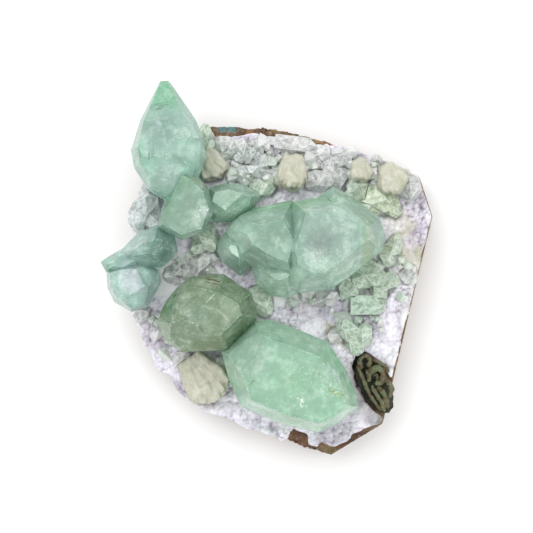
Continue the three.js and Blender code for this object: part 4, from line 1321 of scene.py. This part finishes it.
def build_stage():
    made = bmesh.new()
    bmesh.ops.create_grid(made, x_segments=2, y_segments=2, size=1.5)
    mesh = bpy.data.meshes.new("floor")
    made.to_mesh(mesh)
    made.free()
    material, tree, shader = new_material("pale floor")
    mottle = noise_of(tree, object_space(tree), 40, 3)
    shade = mix(tree, mottle, (0.87, 0.87, 0.87), (0.89, 0.89, 0.89))
    set_shader(tree, shader, {"Base Color": shade, "Roughness": 0.9})
    mesh.materials.append(material)
    scene = bpy.context.scene
    floor = bpy.data.objects.new("floor", mesh)
    scene.collection.objects.link(floor)
    camera = bpy.data.cameras.new("camera")
    camera.lens = LENS
    camera.sensor_width = SENSOR
    camera.clip_start = 0.01
    eye = bpy.data.objects.new("camera", camera)
    eye.location = EYE
    scene.collection.objects.link(eye)
    scene.camera = eye
    world = bpy.data.worlds.new("soft room")
    world.use_nodes = True
    background = world.node_tree.nodes["Background"]
    background.inputs["Color"].default_value = (1.0, 1.0, 1.0, 1.0)
    background.inputs["Strength"].default_value = ROOM_LIGHT
    scene.world = world
    scene.view_settings.view_transform = "Standard"
    for name, (place, size, power) in LIGHTS.items():
        light = bpy.data.lights.new(name, "AREA")
        light.size = size
        light.energy = power
        lamp = bpy.data.objects.new(name, light)
        lamp.location = place
        lamp.rotation_euler = (-Vector(place)).to_track_quat("-Z", "Y").to_euler()
        scene.collection.objects.link(lamp)


# Operators


class SPECIMEN_OT_stage(bpy.types.Operator):
    """Set up the floor, the camera and the soft lights"""
    bl_idname = "specimen.stage"
    bl_label = "Stage"

    def execute(self, context):
        build_stage()
        return {"FINISHED"}


class SPECIMEN_OT_slab(bpy.types.Operator):
    """Build the basalt slab with its rough broken sides"""
    bl_idname = "specimen.slab"
    bl_label = "Basalt"

    def execute(self, context):
        build_slab(context.scene.specimen_sizes, context.scene.specimen_colours)
        return {"FINISHED"}


class SPECIMEN_OT_crust(bpy.types.Operator):
    """Build the knobbly chalcedony over the slab"""
    bl_idname = "specimen.crust"
    bl_label = "Chalcedony"

    def execute(self, context):
        build_crust(context.scene.specimen_sizes, context.scene.specimen_colours)
        return {"FINISHED"}


class SPECIMEN_OT_crystals(bpy.types.Operator):
    """Build the apophyllite crystals with worn edges, rims and growth steps"""
    bl_idname = "specimen.crystals"
    bl_label = "Apophyllite"

    def execute(self, context):
        for part in frame["record"]["subparts"]:
            slot = part["material_slot"]
            if slot in CRYSTAL_GLASS:
                material = material_for(slot, context.scene.specimen_colours)
                build_crystal(part["node"], slot, material, context.scene.specimen_sizes)
        return {"FINISHED"}


class SPECIMEN_OT_strewn(bpy.types.Operator):
    """Strew tiny crystals over the chalcedony"""
    bl_idname = "specimen.strewn"
    bl_label = "Tiny crystals"

    def execute(self, context):
        build_strewn(context.scene.specimen_sizes, context.scene.specimen_colours)
        return {"FINISHED"}


class SPECIMEN_OT_stilbite(bpy.types.Operator):
    """Build the stilbite sheaves: fanned blades merged into fibrous masses"""
    bl_idname = "specimen.stilbite"
    bl_label = "Stilbite"

    def execute(self, context):
        material = stilbite_material(context.scene.specimen_colours)
        for name, row in SHEAVES.items():
            build_sheaf(name, row, material)
        return {"FINISHED"}


class SPECIMEN_OT_celadonite(bpy.types.Operator):
    """Build the tangle of celadonite worms in the hollow"""
    bl_idname = "specimen.celadonite"
    bl_label = "Celadonite"

    def execute(self, context):
        build_celadonite(context.scene.specimen_colours)
        return {"FINISHED"}


STEPS = (
    SPECIMEN_OT_stage, SPECIMEN_OT_slab, SPECIMEN_OT_crust, SPECIMEN_OT_crystals,
    SPECIMEN_OT_strewn, SPECIMEN_OT_stilbite, SPECIMEN_OT_celadonite,
)


class SPECIMEN_PT_panel(bpy.types.Panel):
    """The specimen's pieces, sizes and colours"""
    bl_label = "Apophyllite Specimen"
    bl_idname = "SPECIMEN_PT_panel"
    bl_space_type = "VIEW_3D"
    bl_region_type = "UI"
    bl_category = "Specimen"

    def draw(self, context):
        for step in STEPS:
            self.layout.operator(step.bl_idname)
        for group in (context.scene.specimen_sizes, context.scene.specimen_colours):
            for key in type(group).__annotations__:
                self.layout.prop(group, key)


CLASSES = (SpecimenSizes, SpecimenColours, *STEPS, SPECIMEN_PT_panel)


def register():
    for kind in CLASSES:
        bpy.utils.register_class(kind)
    bpy.types.Scene.specimen_sizes = bpy.props.PointerProperty(type=SpecimenSizes)
    bpy.types.Scene.specimen_colours = bpy.props.PointerProperty(type=SpecimenColours)


def unregister():
    del bpy.types.Scene.specimen_colours
    del bpy.types.Scene.specimen_sizes
    for kind in reversed(CLASSES):
        bpy.utils.unregister_class(kind)


def main():
    register()
    bpy.ops.specimen.stage()
    bpy.ops.specimen.slab()
    bpy.ops.specimen.crust()
    bpy.ops.specimen.crystals()
    bpy.ops.specimen.strewn()
    bpy.ops.specimen.stilbite()
    bpy.ops.specimen.celadonite()


if __name__ == "__main__":
    main()
